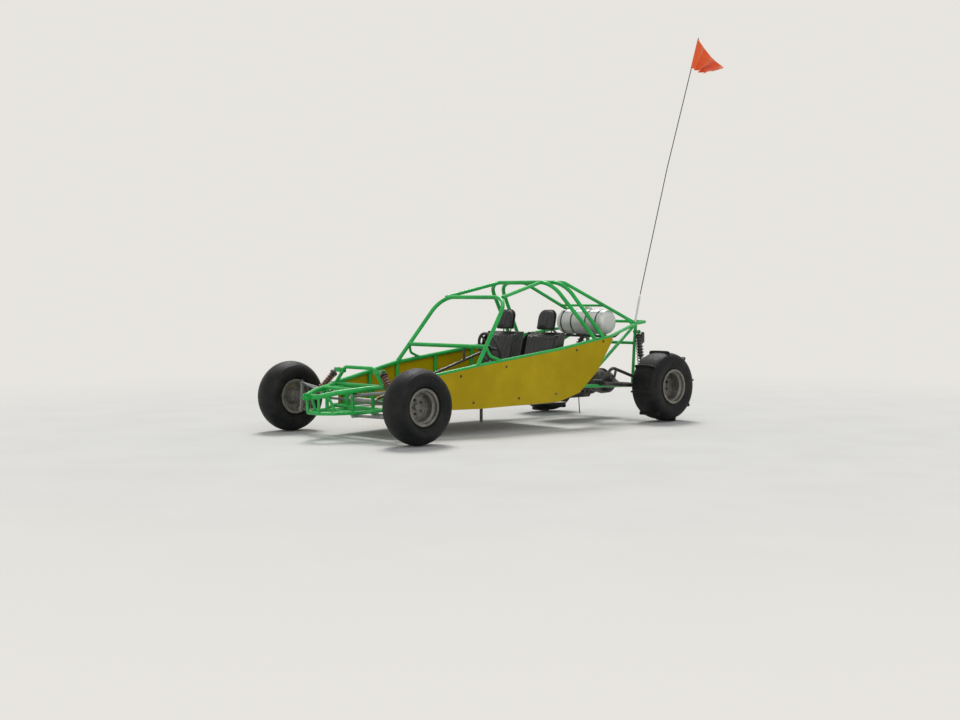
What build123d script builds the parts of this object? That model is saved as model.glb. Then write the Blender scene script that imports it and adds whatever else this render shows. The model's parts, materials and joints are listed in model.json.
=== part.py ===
from build123d import *
import os
from math import atan2, cos

# Two-seat dune buggy with a tube frame. Millimetres, the nose points to -Y, the driver sits at +X.
# Stations (the s values) are measured rearwards from the front axle, heights from the ground.

# Overall reach, from the front tow tab to the flag's tip. The origin lies midway, on the ground.
nose_end_s, flag_end_s = -515, 4870
front_axle_y = -(nose_end_s + flag_end_s) / 2

# Wheels and axles
wheelbase = 3300
front_track = 1830
rear_track = 1620
front_tyre_radius, front_tyre_width = 325, 270
front_flange_radius, front_rim_width, front_dish = 160, 180, 105
rear_tyre_radius, rear_tyre_width = 355, 310
rear_flange_radius, rear_rim_width, rear_dish = 170, 300, 140
front_shoulder_drop, rear_shoulder_drop = 35, 25
rim_wall = 5
tread_share, bead_rise = 0.72, 6
seat_drop, well_drop, bead_seat_width, well_slope = 20, 36, 34, 14
hub_radius, hub_length = 45, 90
spindle_radius = 20
spindle_clearance = 0.05

# Tubes, outer diameters and bend radii
rail_tube = 38
brace_tube = 32
small_tube = 25
loop_tube = 44
roof_tube = 34
bend = 200
hoop_bend = 190

# Frame stations, half widths and heights
nose_s, nose_x, rail_nose_z, floor_nose_z = 80, 375, 460, 262
screen_s, screen_x, screen_foot_z = 1000, 570, 620
cabin_s, cabin_x, cabin_rail_z = 2000, 600, 740
tail_s, tail_rail_z = 2740, 852
screen_top_s, screen_top_x, screen_top_z = 1478, 465, 1241
hoop_top_z = 1385
front_hoop_s, front_hoop_x, front_hoop_foot_s = 2090, 430, 2545
rear_hoop_s, rear_hoop_x, rear_hoop_foot_s = 2250, 445, 2660
corner_s, corner_x, corner_z = 3450, 325, 968
tip_s, tip_x, tip_z = 3660, 285, 986

# Side panels, and the gap at which loose pieces seat
panel_thickness = 3
panel_front_s = 200
panel_lap = 22
seat_gap = 0.3

# Steering
lower_joint = (742, -8, 212)
upper_joint = (742, 8, 452)
joint_boss = 44
joint_depth = 34
link_gap = 2.5

# Body parts
tank_radius, tank_length, tank_dome = 125, 660, 60
tank_s, tank_z = 3045, 988
seat_x = 285
seat_width = 460


def at(x, s, z):
    """A point from its side offset, its station behind the front axle and its height."""
    return Vector(x, front_axle_y + s, z)


def flip(points):
    """The same table of (x, s, z) points on the other side of the buggy."""
    return [(-x, s, z) for x, s, z in points]


def along(points, s):
    """The point of a table of (x, s, z) points at station s, by straight lines."""
    for (xa, sa, za), (xb, sb, zb) in zip(points, points[1:]):
        if sa <= s <= sb:
            t = (s - sa) / (sb - sa)
            return (xa + t * (xb - xa), s, za + t * (zb - za))


def tube(points, diameter, radius=bend):
    """A round bar along a table of (x, s, z) points, with a bend at each inner point."""
    with BuildPart(mode=Mode.PRIVATE) as bar:
        with BuildLine() as path:
            if len(points) > 2:
                FilletPolyline(*[at(*p) for p in points], radius=radius)
            else:
                Line(at(*points[0]), at(*points[1]))
        with BuildSketch(Plane(origin=path.line @ 0, z_dir=path.line % 0)):
            Circle(diameter / 2)
        sweep()
    return bar.part


def turned(start, end, profile):
    """A turned piece on the line from start to end, from a table of (distance, radius) corners."""
    axis = Plane(origin=at(*start), z_dir=at(*end) - at(*start))
    with BuildPart(mode=Mode.PRIVATE) as piece:
        with BuildSketch(Plane(origin=axis.origin, x_dir=axis.x_dir, z_dir=-axis.y_dir)):
            with BuildLine():
                corners = [(radius, distance) for distance, radius in profile]
                corners = [(0, profile[0][0]), *corners, (0, profile[-1][0])]
                Polyline(*corners, close=True)
            make_face()
        revolve(axis=Axis(axis.origin, axis.z_dir))
    return piece.part


def spring(start, end, low, high, turns, radius, wire):
    """A coil spring on the line from start to end, between two distances along it."""
    axis = Plane(origin=at(*start), z_dir=at(*end) - at(*start))
    centre = axis.origin + axis.z_dir * (low + wire / 2)
    height = high - low - wire
    with BuildPart(mode=Mode.PRIVATE) as coil:
        with BuildLine() as path:
            Helix(pitch=height / turns, height=height, radius=radius, center=centre, direction=axis.z_dir)
        with BuildSketch(Plane(origin=path.line @ 0, z_dir=path.line % 0)):
            Circle(wire / 2)
        sweep(is_frenet=True)
    return coil.part


def ears(pivot, root, gap, thickness, pivot_radius, root_radius):
    """Two bracket plates across Y that hold a pin at the pivot, welded on where the root lies."""
    with BuildPart(mode=Mode.PRIVATE) as plates:
        for near in (gap / 2, -gap / 2 - thickness):
            with BuildSketch(Plane.XZ.offset(-(front_axle_y + pivot[1] + near + thickness))):
                for (x, _, z), radius in ((pivot, pivot_radius), (root, root_radius)):
                    with Locations((x, z)):
                        Circle(radius)
                make_hull()
            extrude(amount=thickness)
    return plates.part


def cut_by(*others):
    """Cope the part being built to the pieces that it meets."""
    for other in others:
        add(other, mode=Mode.SUBTRACT)


def save(builder, name):
    """Label a finished piece and write it."""
    builder.part.label = name
    export_step(builder.part, f"parts/{name}.step")


os.makedirs("parts", exist_ok=True)

# Side frames: top rail, lower rail that rises to the top rail's end, and uprights between
top_rail = [
    (nose_x, nose_s, rail_nose_z),
    (screen_x, screen_s, screen_foot_z),
    (cabin_x, cabin_s, cabin_rail_z),
    (cabin_x, tail_s, tail_rail_z),
]
lower_rail = [
    (nose_x, nose_s, floor_nose_z),
    (screen_x, screen_s, 256),
    (cabin_x, cabin_s, 272),
    (cabin_x, 2280, 345),
    (cabin_x, 2530, 540),
    (cabin_x, tail_s, tail_rail_z),
]
upright_stations = [240, 600, screen_s, 1500, cabin_s]

side_frames = {}
for side, sign in (("left", 1), ("right", -1)):
    with BuildPart() as side_frame:
        for rail in (top_rail, lower_rail):
            add(tube(rail if sign > 0 else flip(rail), rail_tube))
        for s in upright_stations:
            upright = [along(lower_rail, s), along(top_rail, s)]
            add(tube(upright if sign > 0 else flip(upright), brace_tube))
    side_frames[side] = side_frame.part
    save(side_frame, f"side_frame_{side}")
both_sides = list(side_frames.values())

# Side panels: sheet bent to the plan of the rails, cut to the frame's side outline and a lap around it
side_outline = [along(lower_rail, panel_front_s)] + lower_rail[1:]
side_outline += top_rail[-2:0:-1] + [along(top_rail, panel_front_s)]
panel_offset = (rail_tube / 2 + seat_gap) / cos(atan2(screen_x - nose_x, screen_s - nose_s))
for side, sign in (("left", 1), ("right", -1)):
    with BuildPart() as side_panel:
        with BuildSketch(Plane.XY.offset(100)):
            with BuildLine():
                inner = [
                    (nose_x + panel_offset, nose_s),
                    (screen_x + panel_offset, screen_s),
                    (cabin_x + panel_offset, cabin_s),
                    (cabin_x + panel_offset, tail_s + 60),
                ]
                outer = [(x + panel_thickness, s) for x, s in reversed(inner)]
                Polyline(*[(sign * x, front_axle_y + s) for x, s in inner + outer], close=True)
            make_face()
        extrude(amount=900)
        with BuildSketch(Plane.YZ.offset(sign * (nose_x - 50))):
            with BuildLine():
                Polyline(*[(front_axle_y + s, z) for _, s, z in side_outline], close=True)
            make_face()
            offset(amount=panel_lap, kind=Kind.ARC)
        extrude(amount=sign * cabin_x, mode=Mode.INTERSECT)
    save(side_panel, f"side_panel_{side}")

# Floor frame: cross tubes between the lower rails
cross_stations = [nose_s, 600, screen_s, 1500, cabin_s]
with BuildPart() as floor_frame:
    for s in cross_stations:
        x, _, z = along(lower_rail, s)
        add(tube([(-x, s, z), (x, s, z)], brace_tube))
    cut_by(*both_sides)
save(floor_frame, "floor_frame")

# Floor pan: sheet under the cross tubes
pan_top = 256 - brace_tube / 2 - seat_gap
with BuildPart() as floor_pan:
    with BuildSketch(Plane.XY.offset(pan_top)):
        with BuildLine():
            half = [(nose_x - 25, panel_front_s), (screen_x - 25, screen_s)]
            half += [(cabin_x - 25, 1700), (cabin_x - 25, 2150)]
            loop = half + [(-x, s) for x, s in reversed(half)]
            Polyline(*[(x, front_axle_y + s) for x, s in loop], close=True)
        make_face()
    extrude(amount=-panel_thickness)
    cut_by(*both_sides)
save(floor_pan, "floor_pan")

# Windscreen hoop with its cross bar and knee braces
screen_foot = (screen_x, screen_s, screen_foot_z)
screen_corner = (screen_top_x, screen_top_s, screen_top_z)
bar_share = 0.274
bar_end = tuple(a + bar_share * (b - a) for a, b in zip(screen_foot, screen_corner))
with BuildPart() as windshield_hoop:
    add(tube([screen_foot, screen_corner] + flip([screen_corner, screen_foot]), rail_tube))
    add(tube([bar_end] + flip([bar_end]), rail_tube))
    knee = [bar_end, (562, 1165, 705), along(top_rail, 1300)]
    for brace in (knee, flip(knee)):
        add(tube(brace, small_tube, 60))
    cut_by(*both_sides)
save(windshield_hoop, "windshield_hoop")

# Main hoops behind the seats, their feet a little short of the rails' middle and coped to them
foot_inset = 3
hoops = []
for s, x, foot_s in (
    (front_hoop_s, front_hoop_x, front_hoop_foot_s),
    (rear_hoop_s, rear_hoop_x, rear_hoop_foot_s),
):
    foot, head = Vector(*along(top_rail, foot_s)), Vector(x, s, hoop_top_z)
    leg = [tuple(foot + (head - foot).normalized() * foot_inset), tuple(head)]
    with BuildPart() as hoop:
        add(tube(leg + flip(leg[::-1]), rail_tube, hoop_bend))
        cut_by(*both_sides)
    hoops.append(hoop.part)
with BuildPart() as main_hoops:
    add(hoops)
save(main_hoops, "main_hoops")

# Roof rails from the windscreen hoop over the main hoops to the rear corners
roof_rail = [
    (400, screen_top_s, screen_top_z),
    (288, front_hoop_s, hoop_top_z),
    (275, 2430, hoop_top_z),
    (corner_x, corner_s, corner_z),
]
tank_bar = along(roof_rail, tank_s - 55)
with BuildPart() as roof_rails:
    for rail in (roof_rail, flip(roof_rail)):
        add(tube(rail, roof_tube, bend))
    add(tube([tank_bar] + flip([tank_bar]), small_tube))
    cut_by(windshield_hoop.part, main_hoops.part)
save(roof_rails, "roof_rails")

# Rear frame: longitudinals to the rear corners, the rear loop, down tubes and struts
corner = (corner_x, corner_s, corner_z)
longitudinal = [(cabin_x, tail_s, tail_rail_z), corner]
cradle_end = (corner_x, 3400, 330)
eye_length, eye_radius, neck_length, neck_radius = 24, 14, 26, 6.5
rear_coil_top, rear_coil_foot = (368, 3440, 885), (548, 3296, 448)
with BuildPart() as rear_frame:
    for turn in (list, flip):
        pivot, root = turn([rear_coil_top, (corner_x, rear_coil_top[1], rear_coil_top[2])])
        add(ears(pivot, root, eye_length + 2 * seat_gap, 6, 18, 15))
        add(tube(turn(longitudinal), brace_tube))
        add(tube(turn([corner, along(lower_rail, 2330)]), brace_tube))
        add(tube(turn([corner, (corner_x, 3430, 780), cradle_end]), brace_tube, 300))
        add(tube(turn([along(lower_rail, 2330), cradle_end]), brace_tube))
        add(tube(turn([along(roof_rail, 3280), along(longitudinal, 3370)]), small_tube))
    tip = (tip_x, tip_s, tip_z)
    add(tube([corner, tip] + flip([tip, corner]), brace_tube, 60))
    add(tube([(corner_x, 3425, 770), (-corner_x, 3425, 770)], brace_tube))
    add(tube([cradle_end] + flip([cradle_end]), brace_tube))
    cut_by(*both_sides, roof_rails.part)
save(rear_frame, "rear_frame")

# Shock tower: trapezoid hoop on a cross tube between the front posts, with ears for the dampers
tower_top = (205, 100, 617)
tower_shoulder = (345, 92, rail_nose_z)
coil_top, coil_foot = (330, 97, 592), (650, 14, 262)
with BuildPart() as shock_tower:
    add(tube([tower_shoulder, tower_top] + flip([tower_top, tower_shoulder]), brace_tube, 60))
    add(tube([(-nose_x, nose_s, rail_nose_z), (nose_x, nose_s, rail_nose_z)], rail_tube))
    for turn in (list, flip):
        pivot, root = turn([coil_top, (232, coil_top[1], 584)])
        add(ears(pivot, root, eye_length + 2 * seat_gap, 6, 18, 20))
    cut_by(*both_sides)
save(shock_tower, "shock_tower")

# Nose: bumper loop, lower loop, posts between them and the frame that carries the arms
bumper = [(nose_x - 50, nose_s, rail_nose_z), (170, -265, 420), (88, -422, 385)]
lower_loop = [(nose_x - 125, nose_s - 150, 240), (170, -310, 240), (80, -405, 240)]
with BuildPart() as bumper_loop:
    add(tube(bumper + flip(bumper[::-1]), loop_tube, [300, 70, 70, 300]))
    cut_by(*both_sides, shock_tower.part)
save(bumper_loop, "bumper_loop")

# Pivots of the front arms at the frame, the stations of the posts and the bushes on the pivots
arm_x, post_x = 215, 185
post_front_s, post_rear_s = -120, 105
lower_pivots = [(arm_x, post_front_s, 215), (arm_x, post_rear_s, 215)]
upper_pivots = [(arm_x, -130, 390), (arm_x, -25, 390)]
rail_low_z, rail_high_z = 240, 440
bush_length, bush_radius = 40, 17
ear_radius, ear_thickness = 20, 5
with BuildPart() as nose_frame:
    add(tube(lower_loop + flip(lower_loop[::-1]), brace_tube, 70))
    for turn in (list, flip):
        for s in (post_front_s, post_rear_s):
            add(tube(turn([(post_x, s, rail_low_z), (post_x, s, rail_high_z)]), brace_tube))
        for z in (rail_low_z, rail_high_z):
            add(tube(turn([(post_x, post_front_s - 40, z), (post_x, post_rear_s + 28, z)]), small_tube))
        for pivots, z in ((lower_pivots, rail_low_z), (upper_pivots, rail_high_z)):
            for pivot in pivots:
                place, root = turn([pivot, (post_x, pivot[1], z)])
                add(ears(place, root, bush_length + 2 * seat_gap, ear_thickness, ear_radius, 14))
        add(tube(turn([(post_x, post_front_s, rail_high_z), (nose_x, nose_s, rail_nose_z)]), small_tube))
        add(tube(turn([lower_loop[0], (nose_x, nose_s, floor_nose_z)]), brace_tube))
        add(tube(turn([(80, -405, rail_low_z), (88, -412, 385)]), small_tube))
        add(tube(turn([(120, -345, 405), (150, -270, rail_low_z)]), small_tube))
        add(tube(turn([(150, -290, rail_low_z), (post_x, post_front_s, rail_low_z)]), small_tube))
    for s in (post_front_s, post_rear_s):
        for z in (rail_low_z, rail_high_z):
            add(tube([(-post_x, s, z), (post_x, s, z)], brace_tube))
    cut_by(*both_sides, shock_tower.part, bumper_loop.part, floor_frame.part)
save(nose_frame, "nose_frame")

# Kingpin line, from the lower ball joint up to the upper one
kingpin = Vector(*upper_joint) - Vector(*lower_joint)
kingpin_step = kingpin.normalized() * (joint_depth / 2)


def on_kingpin(joint, steps):
    """A point on the kingpin line, a number of half boss depths above a ball joint."""
    return tuple(Vector(*joint) + kingpin_step * steps)


# Front control arms: bushes on the pivots, two legs each, the ball joint's boss and a cross strut
with BuildPart() as front_arms:
    for turn in (list, flip):
        for pivots, joint in ((lower_pivots, lower_joint), (upper_pivots, upper_joint)):
            for x, s, z in pivots:
                add(tube(turn([(x, s, z), joint]), small_tube))
                add(tube(turn([(x, s - bush_length / 2, z), (x, s + bush_length / 2, z)]), 2 * bush_radius))
            strut = [tuple(a + 0.45 * (b - a) for a, b in zip(pivot, joint)) for pivot in pivots]
            add(tube(turn(strut), small_tube - 5))
            add(tube(turn([on_kingpin(joint, -1), on_kingpin(joint, 1)]), joint_boss))
        pivot, root = turn([coil_foot, (coil_foot[0], coil_foot[1], lower_joint[2] + 2)])
        add(ears(pivot, root, eye_length + 2 * seat_gap, ear_thickness, 17, 12))
    cut_by(nose_frame.part)
save(front_arms, "front_arms")


def damper(top, foot, profile):
    """A damper with a cross eye at each end, from a table of (distance, radius) corners."""
    with BuildPart(mode=Mode.PRIVATE) as piece:
        add(turned(top, foot, profile))
        for x, s, z in (top, foot):
            add(tube([(x, s - eye_length / 2, z), (x, s + eye_length / 2, z)], 2 * eye_radius))
    return piece.part


# Front coilovers: body at the top, rod at the foot, and the spring between its two perches
coil_length = (Vector(*coil_top) - Vector(*coil_foot)).length
perch_top, perch_foot = 52, coil_length - 130
front_damper_profile = [
    (eye_radius - 2, neck_radius),
    (neck_length, neck_radius),
    (34, 12),
    (34, 24),
    (perch_top - 8, 24),
    (perch_top - 8, 36),
    (perch_top, 36),
    (perch_top, 22),
    (260, 22),
    (266, 8),
    (perch_foot, 8),
    (perch_foot, 34),
    (perch_foot + 8, 34),
    (perch_foot + 20, 14),
    (coil_length - 34, 12),
    (coil_length - neck_length, neck_radius),
    (coil_length - eye_radius + 2, neck_radius),
]
front_spring_radius, front_wire, front_turns = 29, 8, 9
with BuildPart() as front_dampers:
    for turn in (list, flip):
        add(damper(*turn([coil_top, coil_foot]), front_damper_profile))
save(front_dampers, "front_dampers")

with BuildPart() as front_springs:
    for turn in (list, flip):
        add(spring(*turn([coil_top, coil_foot]), perch_top + seat_gap, perch_foot - seat_gap,
                   front_turns, front_spring_radius, front_wire))
save(front_springs, "front_springs")

# Steering rack across the nose, and the two tie rods with the bar that slides in it
rack_s, rack_z = 140, 320
rack_half, rack_radius = 200, 26
with BuildPart() as steering_rack:
    with BuildSketch(Plane.YZ.offset(-rack_half)):
        with Locations((front_axle_y + rack_s, rack_z)):
            Circle(rack_radius)
            Circle(small_tube / 2 - 0.5 + spindle_clearance, mode=Mode.SUBTRACT)
    extrude(amount=2 * rack_half)
    cut_by(nose_frame.part)
save(steering_rack, "steering_rack")

arm_end = (735, rack_s, rack_z)
with BuildPart() as tie_rods:
    add(tube(flip([arm_end]) + [arm_end], small_tube - 1))
save(tie_rods, "tie_rods")

# Steering knuckles: upright on the kingpin line, spindle with its shoulder, and steering arm
link_z = rack_z + small_tube + link_gap
boss_seat = 1 + seat_gap / (joint_depth / 2)
front_disc_x = front_track / 2 + front_rim_width / 2 - front_dish
hub_clearance = 4
for side, turn in (("left", list), ("right", flip)):
    with BuildPart() as knuckle:
        add(tube(turn([on_kingpin(lower_joint, boss_seat), on_kingpin(upper_joint, -boss_seat)]), 34))
        hub_root = (lower_joint[0], 0, front_tyre_radius)
        hub_tip = (front_disc_x - hub_clearance, 0, front_tyre_radius)
        shoulder_tip = (front_disc_x - hub_length - hub_clearance, 0, front_tyre_radius)
        add(tube(turn([hub_root, hub_tip]), 2 * spindle_radius))
        add(turned(*turn([hub_root, shoulder_tip]), [(0, 30), (shoulder_tip[0] - hub_root[0], 34)]))
        add(tube(turn([(lower_joint[0], 0, link_z), (arm_end[0], arm_end[1], link_z)]), small_tube))
    save(knuckle, f"knuckle_{side}")


def rim(centre, sign, width, dish, flange):
    """A one-piece wheel rim with a dished centre and its hub, bored for the spindle."""
    edge, seat, well = width / 2, flange - seat_drop, flange - well_drop
    disc = edge - dish
    ramp, floor = edge - bead_seat_width, edge - bead_seat_width - well_slope
    bore = spindle_radius + spindle_clearance
    inside = [(edge, seat), (ramp + 2, seat), (floor + 2, well)]
    outside = [(edge, flange), (edge - rim_wall, flange), (edge - rim_wall - 4, seat + rim_wall)]
    outside += [(ramp, seat + rim_wall), (floor, well + rim_wall)]
    back = [(-x, radius) for x, radius in inside[::-1] + outside]
    with BuildPart(mode=Mode.PRIVATE) as wheel:
        with BuildSketch(Plane.XZ):
            with BuildLine():
                Polyline(
                    *outside[::-1],
                    *inside,
                    (disc, well),
                    (disc, bore),
                    (disc - hub_length, bore),
                    (disc - hub_length, hub_radius),
                    (disc - 8, hub_radius + 30),
                    (disc - 8, well),
                    *back,
                    close=True,
                )
            make_face()
        revolve(axis=Axis.X)
        with BuildSketch(Plane.YZ.offset(disc)):
            Circle(hub_radius - 10)
        extrude(amount=14, taper=20)
    part = wheel.part if sign > 0 else wheel.part.mirror(Plane.YZ)
    return part.moved(Location(centre))


def tyre(centre, width, radius, shoulder_drop, flange, rim_width):
    """A tyre from bead to bead: bulged side walls and a crowned tread between the shoulders."""
    bead, lip = flange - seat_drop + rim_wall, flange + bead_rise
    edge = rim_width / 2 - rim_wall - 4
    shoulder_x, shoulder_r = tread_share * width / 2, radius - shoulder_drop
    side_r = (lip + shoulder_r) / 2
    with BuildPart(mode=Mode.PRIVATE) as carcass:
        with BuildSketch(Plane.XZ):
            with BuildLine():
                Polyline((-edge, lip), (-edge, bead), (edge, bead), (edge, lip))
                ThreePointArc((edge, lip), (width / 2, side_r), (shoulder_x, shoulder_r))
                ThreePointArc((shoulder_x, shoulder_r), (0, radius), (-shoulder_x, shoulder_r))
                ThreePointArc((-shoulder_x, shoulder_r), (-width / 2, side_r), (-edge, lip))
            make_face()
        revolve(axis=Axis.X)
    return carcass.part.moved(Location(centre))


front_tyre = (front_tyre_radius, front_tyre_width, front_shoulder_drop)
front_rim = (front_flange_radius, front_rim_width, front_dish)
rear_tyre = (rear_tyre_radius, rear_tyre_width, rear_shoulder_drop)
rear_rim = (rear_flange_radius, rear_rim_width, rear_dish)
front = (front_track / 2, 0, *front_tyre, *front_rim)
rear = (rear_track / 2, wheelbase, *rear_tyre, *rear_rim)
wheels = [
    ("front_left", 1, front),
    ("front_right", -1, front),
    ("rear_left", 1, rear),
    ("rear_right", -1, rear),
]
for place, sign, (half_track, s, radius, width, shoulder_drop, flange, rim_width, dish) in wheels:
    centre = at(sign * half_track, s, radius)
    with BuildPart() as wheel_rim:
        add(rim(centre, sign, rim_width, dish, flange))
    save(wheel_rim, f"rim_{place}")
    with BuildPart() as wheel_tyre:
        add(tyre(centre, width, radius, shoulder_drop, flange, rim_width))
        cut_by(wheel_rim.part)
    save(wheel_tyre, f"tyre_{place}")

# Rear trailing arms with the bearing housings, stub spindles and damper ears
rear_disc_x = rear_track / 2 + rear_rim_width / 2 - rear_dish
arm_pivot_s, arm_pivot_z = 2700, 400
arm_end_x = 640
housing_in, housing_out = 595, rear_disc_x - hub_length - 35
housing_length = housing_out - housing_in
housing_profile = [(0, 40), (0, 52), (housing_length - 12, 52), (housing_length, 40)]
with BuildPart() as rear_arms:
    for turn in (list, flip):
        axle = turn([(x, wheelbase, rear_tyre_radius) for x in (housing_in, housing_out)])
        add(turned(*axle, housing_profile))
        stub = [(x, wheelbase, rear_tyre_radius) for x in (arm_end_x, rear_disc_x - hub_clearance)]
        add(tube(turn(stub), 2 * spindle_radius))
        add(tube(turn([(430, arm_pivot_s, arm_pivot_z), (555, arm_pivot_s, arm_pivot_z)]), 60))
        add(tube(turn([(500, arm_pivot_s, 390), (arm_end_x, wheelbase - 10, 345)]), rail_tube))
        upper_arm = [(500, arm_pivot_s + 20, 410), (515, 2880, 540), (arm_end_x, wheelbase - 10, 375)]
        add(tube(turn(upper_arm), brace_tube, 60))
        add(tube(turn([(540, 2860, 385), (545, 2900, 520)]), small_tube))
        add(tube(turn([(385, arm_pivot_s, arm_pivot_z), (cabin_x - 15, arm_pivot_s, arm_pivot_z)]), 24))
        pivot, root = turn([rear_coil_foot, (rear_coil_foot[0] + 62, wheelbase - 4, 385)])
        add(ears(pivot, root, eye_length + 2 * seat_gap, 6, 18, 24))
    cut_by(*both_sides, rear_frame.part)
save(rear_arms, "rear_arms")

# Engine ahead of the axle: block, head, cover, sump and the crank pulley on its front
engine_s, engine_length = 2760, 470
pulley_z, pulley_reach = 330, 34
pulley_profile = [(0, 80), (30, 80), (30, 40), (60, 40)]
engine_blocks = [
    (360, engine_length, 290, 560, 30),
    (300, engine_length - 40, 545, 650, 14),
    (220, engine_length - 80, 640, 700, 24),
    (280, engine_length - 60, 225, 300, 30),
]


def rounded_block(width, length, low, high, rounding):
    """A block of the engine between two heights, its long edges rounded."""
    with BuildPart(mode=Mode.PRIVATE) as block:
        with Locations(at(0, engine_s, (low + high) / 2)):
            Box(width, length, high - low)
        fillet(block.edges().filter_by(Axis.Y), rounding)
    return block.part


with BuildPart() as engine:
    for block_sizes in engine_blocks:
        add(rounded_block(*block_sizes))
    pulley_face = (0, engine_s - engine_length / 2 - pulley_reach, pulley_z)
    add(turned(pulley_face, (0, engine_s, pulley_z), pulley_profile))
save(engine, "engine")

# Transaxle: bell housing, ribbed gear case and the side covers of the differential
bell = engine_s + engine_length / 2
crank_z, case_length, cover_x = 378, 400, 150
case_profile = [
    (seat_gap, 160),
    (26, 160),
    (26, 150),
    (120, 136),
    (150, 120),
    (290, 112),
    (290, 124),
    (304, 124),
    (304, 100),
    (case_length, 84),
]
cover_profile = [(0, 118), (90, 104), (120, 80), (120, 56), (cover_x, 56)]
with BuildPart() as transaxle:
    add(turned((0, bell, crank_z), (0, bell + case_length, crank_z), case_profile))
    for turn in (list, flip):
        centre, cover = turn([(0, wheelbase, rear_tyre_radius), (cover_x, wheelbase, rear_tyre_radius)])
        add(turned(centre, cover, cover_profile))
    cut_by(rear_frame.part)
save(transaxle, "transaxle")

# Half shafts with the bellows of their joints
shaft_tube = 30
boot = [(0, 44), (16, 44), (16, 40), (26, 34), (32, 38), (42, 30), (48, 34), (60, 22), (72, 20)]
with BuildPart() as half_shafts:
    for turn in (list, flip):
        ends = [(x, wheelbase, rear_tyre_radius) for x in (cover_x + seat_gap, housing_in - seat_gap)]
        inner, outer = turn(ends)
        add(tube([inner, outer], shaft_tube))
        add(turned(inner, outer, boot))
        add(turned(outer, inner, boot))
    cut_by(rear_arms.part, rear_frame.part)
save(half_shafts, "half_shafts")

# Rear coilovers: damper with its reservoir, and the spring
rear_length = (Vector(*rear_coil_top) - Vector(*rear_coil_foot)).length
rear_perch_top, rear_perch_foot = 54, rear_length - 70
rear_damper_profile = [
    (eye_radius - 2, neck_radius),
    (neck_length, neck_radius),
    (34, 12),
    (34, 26),
    (rear_perch_top - 8, 26),
    (rear_perch_top - 8, 40),
    (rear_perch_top, 40),
    (rear_perch_top, 24),
    (280, 24),
    (286, 9),
    (rear_perch_foot, 9),
    (rear_perch_foot, 38),
    (rear_perch_foot + 8, 38),
    (rear_perch_foot + 20, 14),
    (rear_length - 34, 12),
    (rear_length - neck_length, neck_radius),
    (rear_length - eye_radius + 2, neck_radius),
]
rear_spring_radius, rear_wire, rear_turns = 34, 9, 11
reservoir_s, reservoir_radius = 62, 19
with BuildPart() as rear_coilovers:
    for turn in (list, flip):
        top, foot = turn([rear_coil_top, rear_coil_foot])
        add(damper(top, foot, rear_damper_profile))
        neck = along([foot, top], rear_coil_top[1] - 14)
        bottle = [(neck[0], neck[1] + reservoir_s, neck[2] + height) for height in (-70, 40)]
        add(turned(*bottle, [(0, 12), (0, reservoir_radius), (96, reservoir_radius), (110, 12)]))
        add(tube([neck, (neck[0], neck[1] + reservoir_s, neck[2])], 16))
        add(spring(top, foot, rear_perch_top + seat_gap, rear_perch_foot - seat_gap,
                   rear_turns, rear_spring_radius, rear_wire))
save(rear_coilovers, "rear_coilovers")

# Seats: shells with side wings, head rest carriers and the padded parts
seat_base = 288.3
seat_shell, seat_wing = 21, 6
seat_front_s, seat_back_s, seat_shell_top = 1560, 2050, 900
seat_lean = 183 / 842
head_low, head_high, head_width = 925, 1120, 190
plate_depth, stem_x, stem_tube = 9, 50, 12


def seat_line(z):
    """The station of the front face of the seat's back at a height."""
    return seat_back_s + seat_lean * (z - seat_base)


def seat_piece(x, width, outline):
    """A piece of the seat, its side outline of (s, z) points spread across its width."""
    with BuildPart(mode=Mode.PRIVATE) as piece:
        with BuildSketch(Plane.YZ.offset(x - width / 2)):
            with BuildLine():
                Polyline(*[(front_axle_y + s, z) for s, z in outline], close=True)
            make_face()
        extrude(amount=width)
    return piece.part


def ahead_of_back(corners):
    """An outline of (s, z) points, from distances ahead of the back's front face and heights."""
    return [(seat_line(z) - ahead, z) for ahead, z in corners]


seat_floor = seat_base + seat_shell
shell_outline = [
    (seat_front_s, seat_base),
    (seat_back_s + seat_shell, seat_base),
    (seat_line(seat_shell_top) + seat_shell, seat_shell_top),
    (seat_line(seat_shell_top), seat_shell_top),
    (seat_line(seat_floor), seat_floor),
    (seat_front_s, seat_floor),
]
wing_outline = [(seat_front_s, seat_base), (seat_back_s + seat_shell, seat_base)]
wing_outline += ahead_of_back([(-seat_shell, seat_shell_top), (30, seat_shell_top), (95, 830), (105, 560)])
wing_outline += [(seat_line(seat_floor) - 150, seat_floor + 100), (seat_front_s + 20, seat_floor + 75)]
with BuildPart() as seat_frames:
    for x in (-seat_x, seat_x):
        add(seat_piece(x, seat_width, shell_outline))
        for side in (-1, 1):
            add(seat_piece(x + side * (seat_width - seat_wing) / 2, seat_wing, wing_outline))
            stem_heights = (seat_shell_top - 30, head_high - 30)
            stem = [(x + side * stem_x, seat_line(z) + seat_shell / 2, z) for z in stem_heights]
            add(tube(stem, stem_tube))
        head_plate = [(0, head_low), (0, head_high), (-plate_depth, head_high), (-plate_depth, head_low)]
        add(seat_piece(x, head_width - 10, ahead_of_back(head_plate)))
save(seat_frames, "seat_frames")

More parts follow.
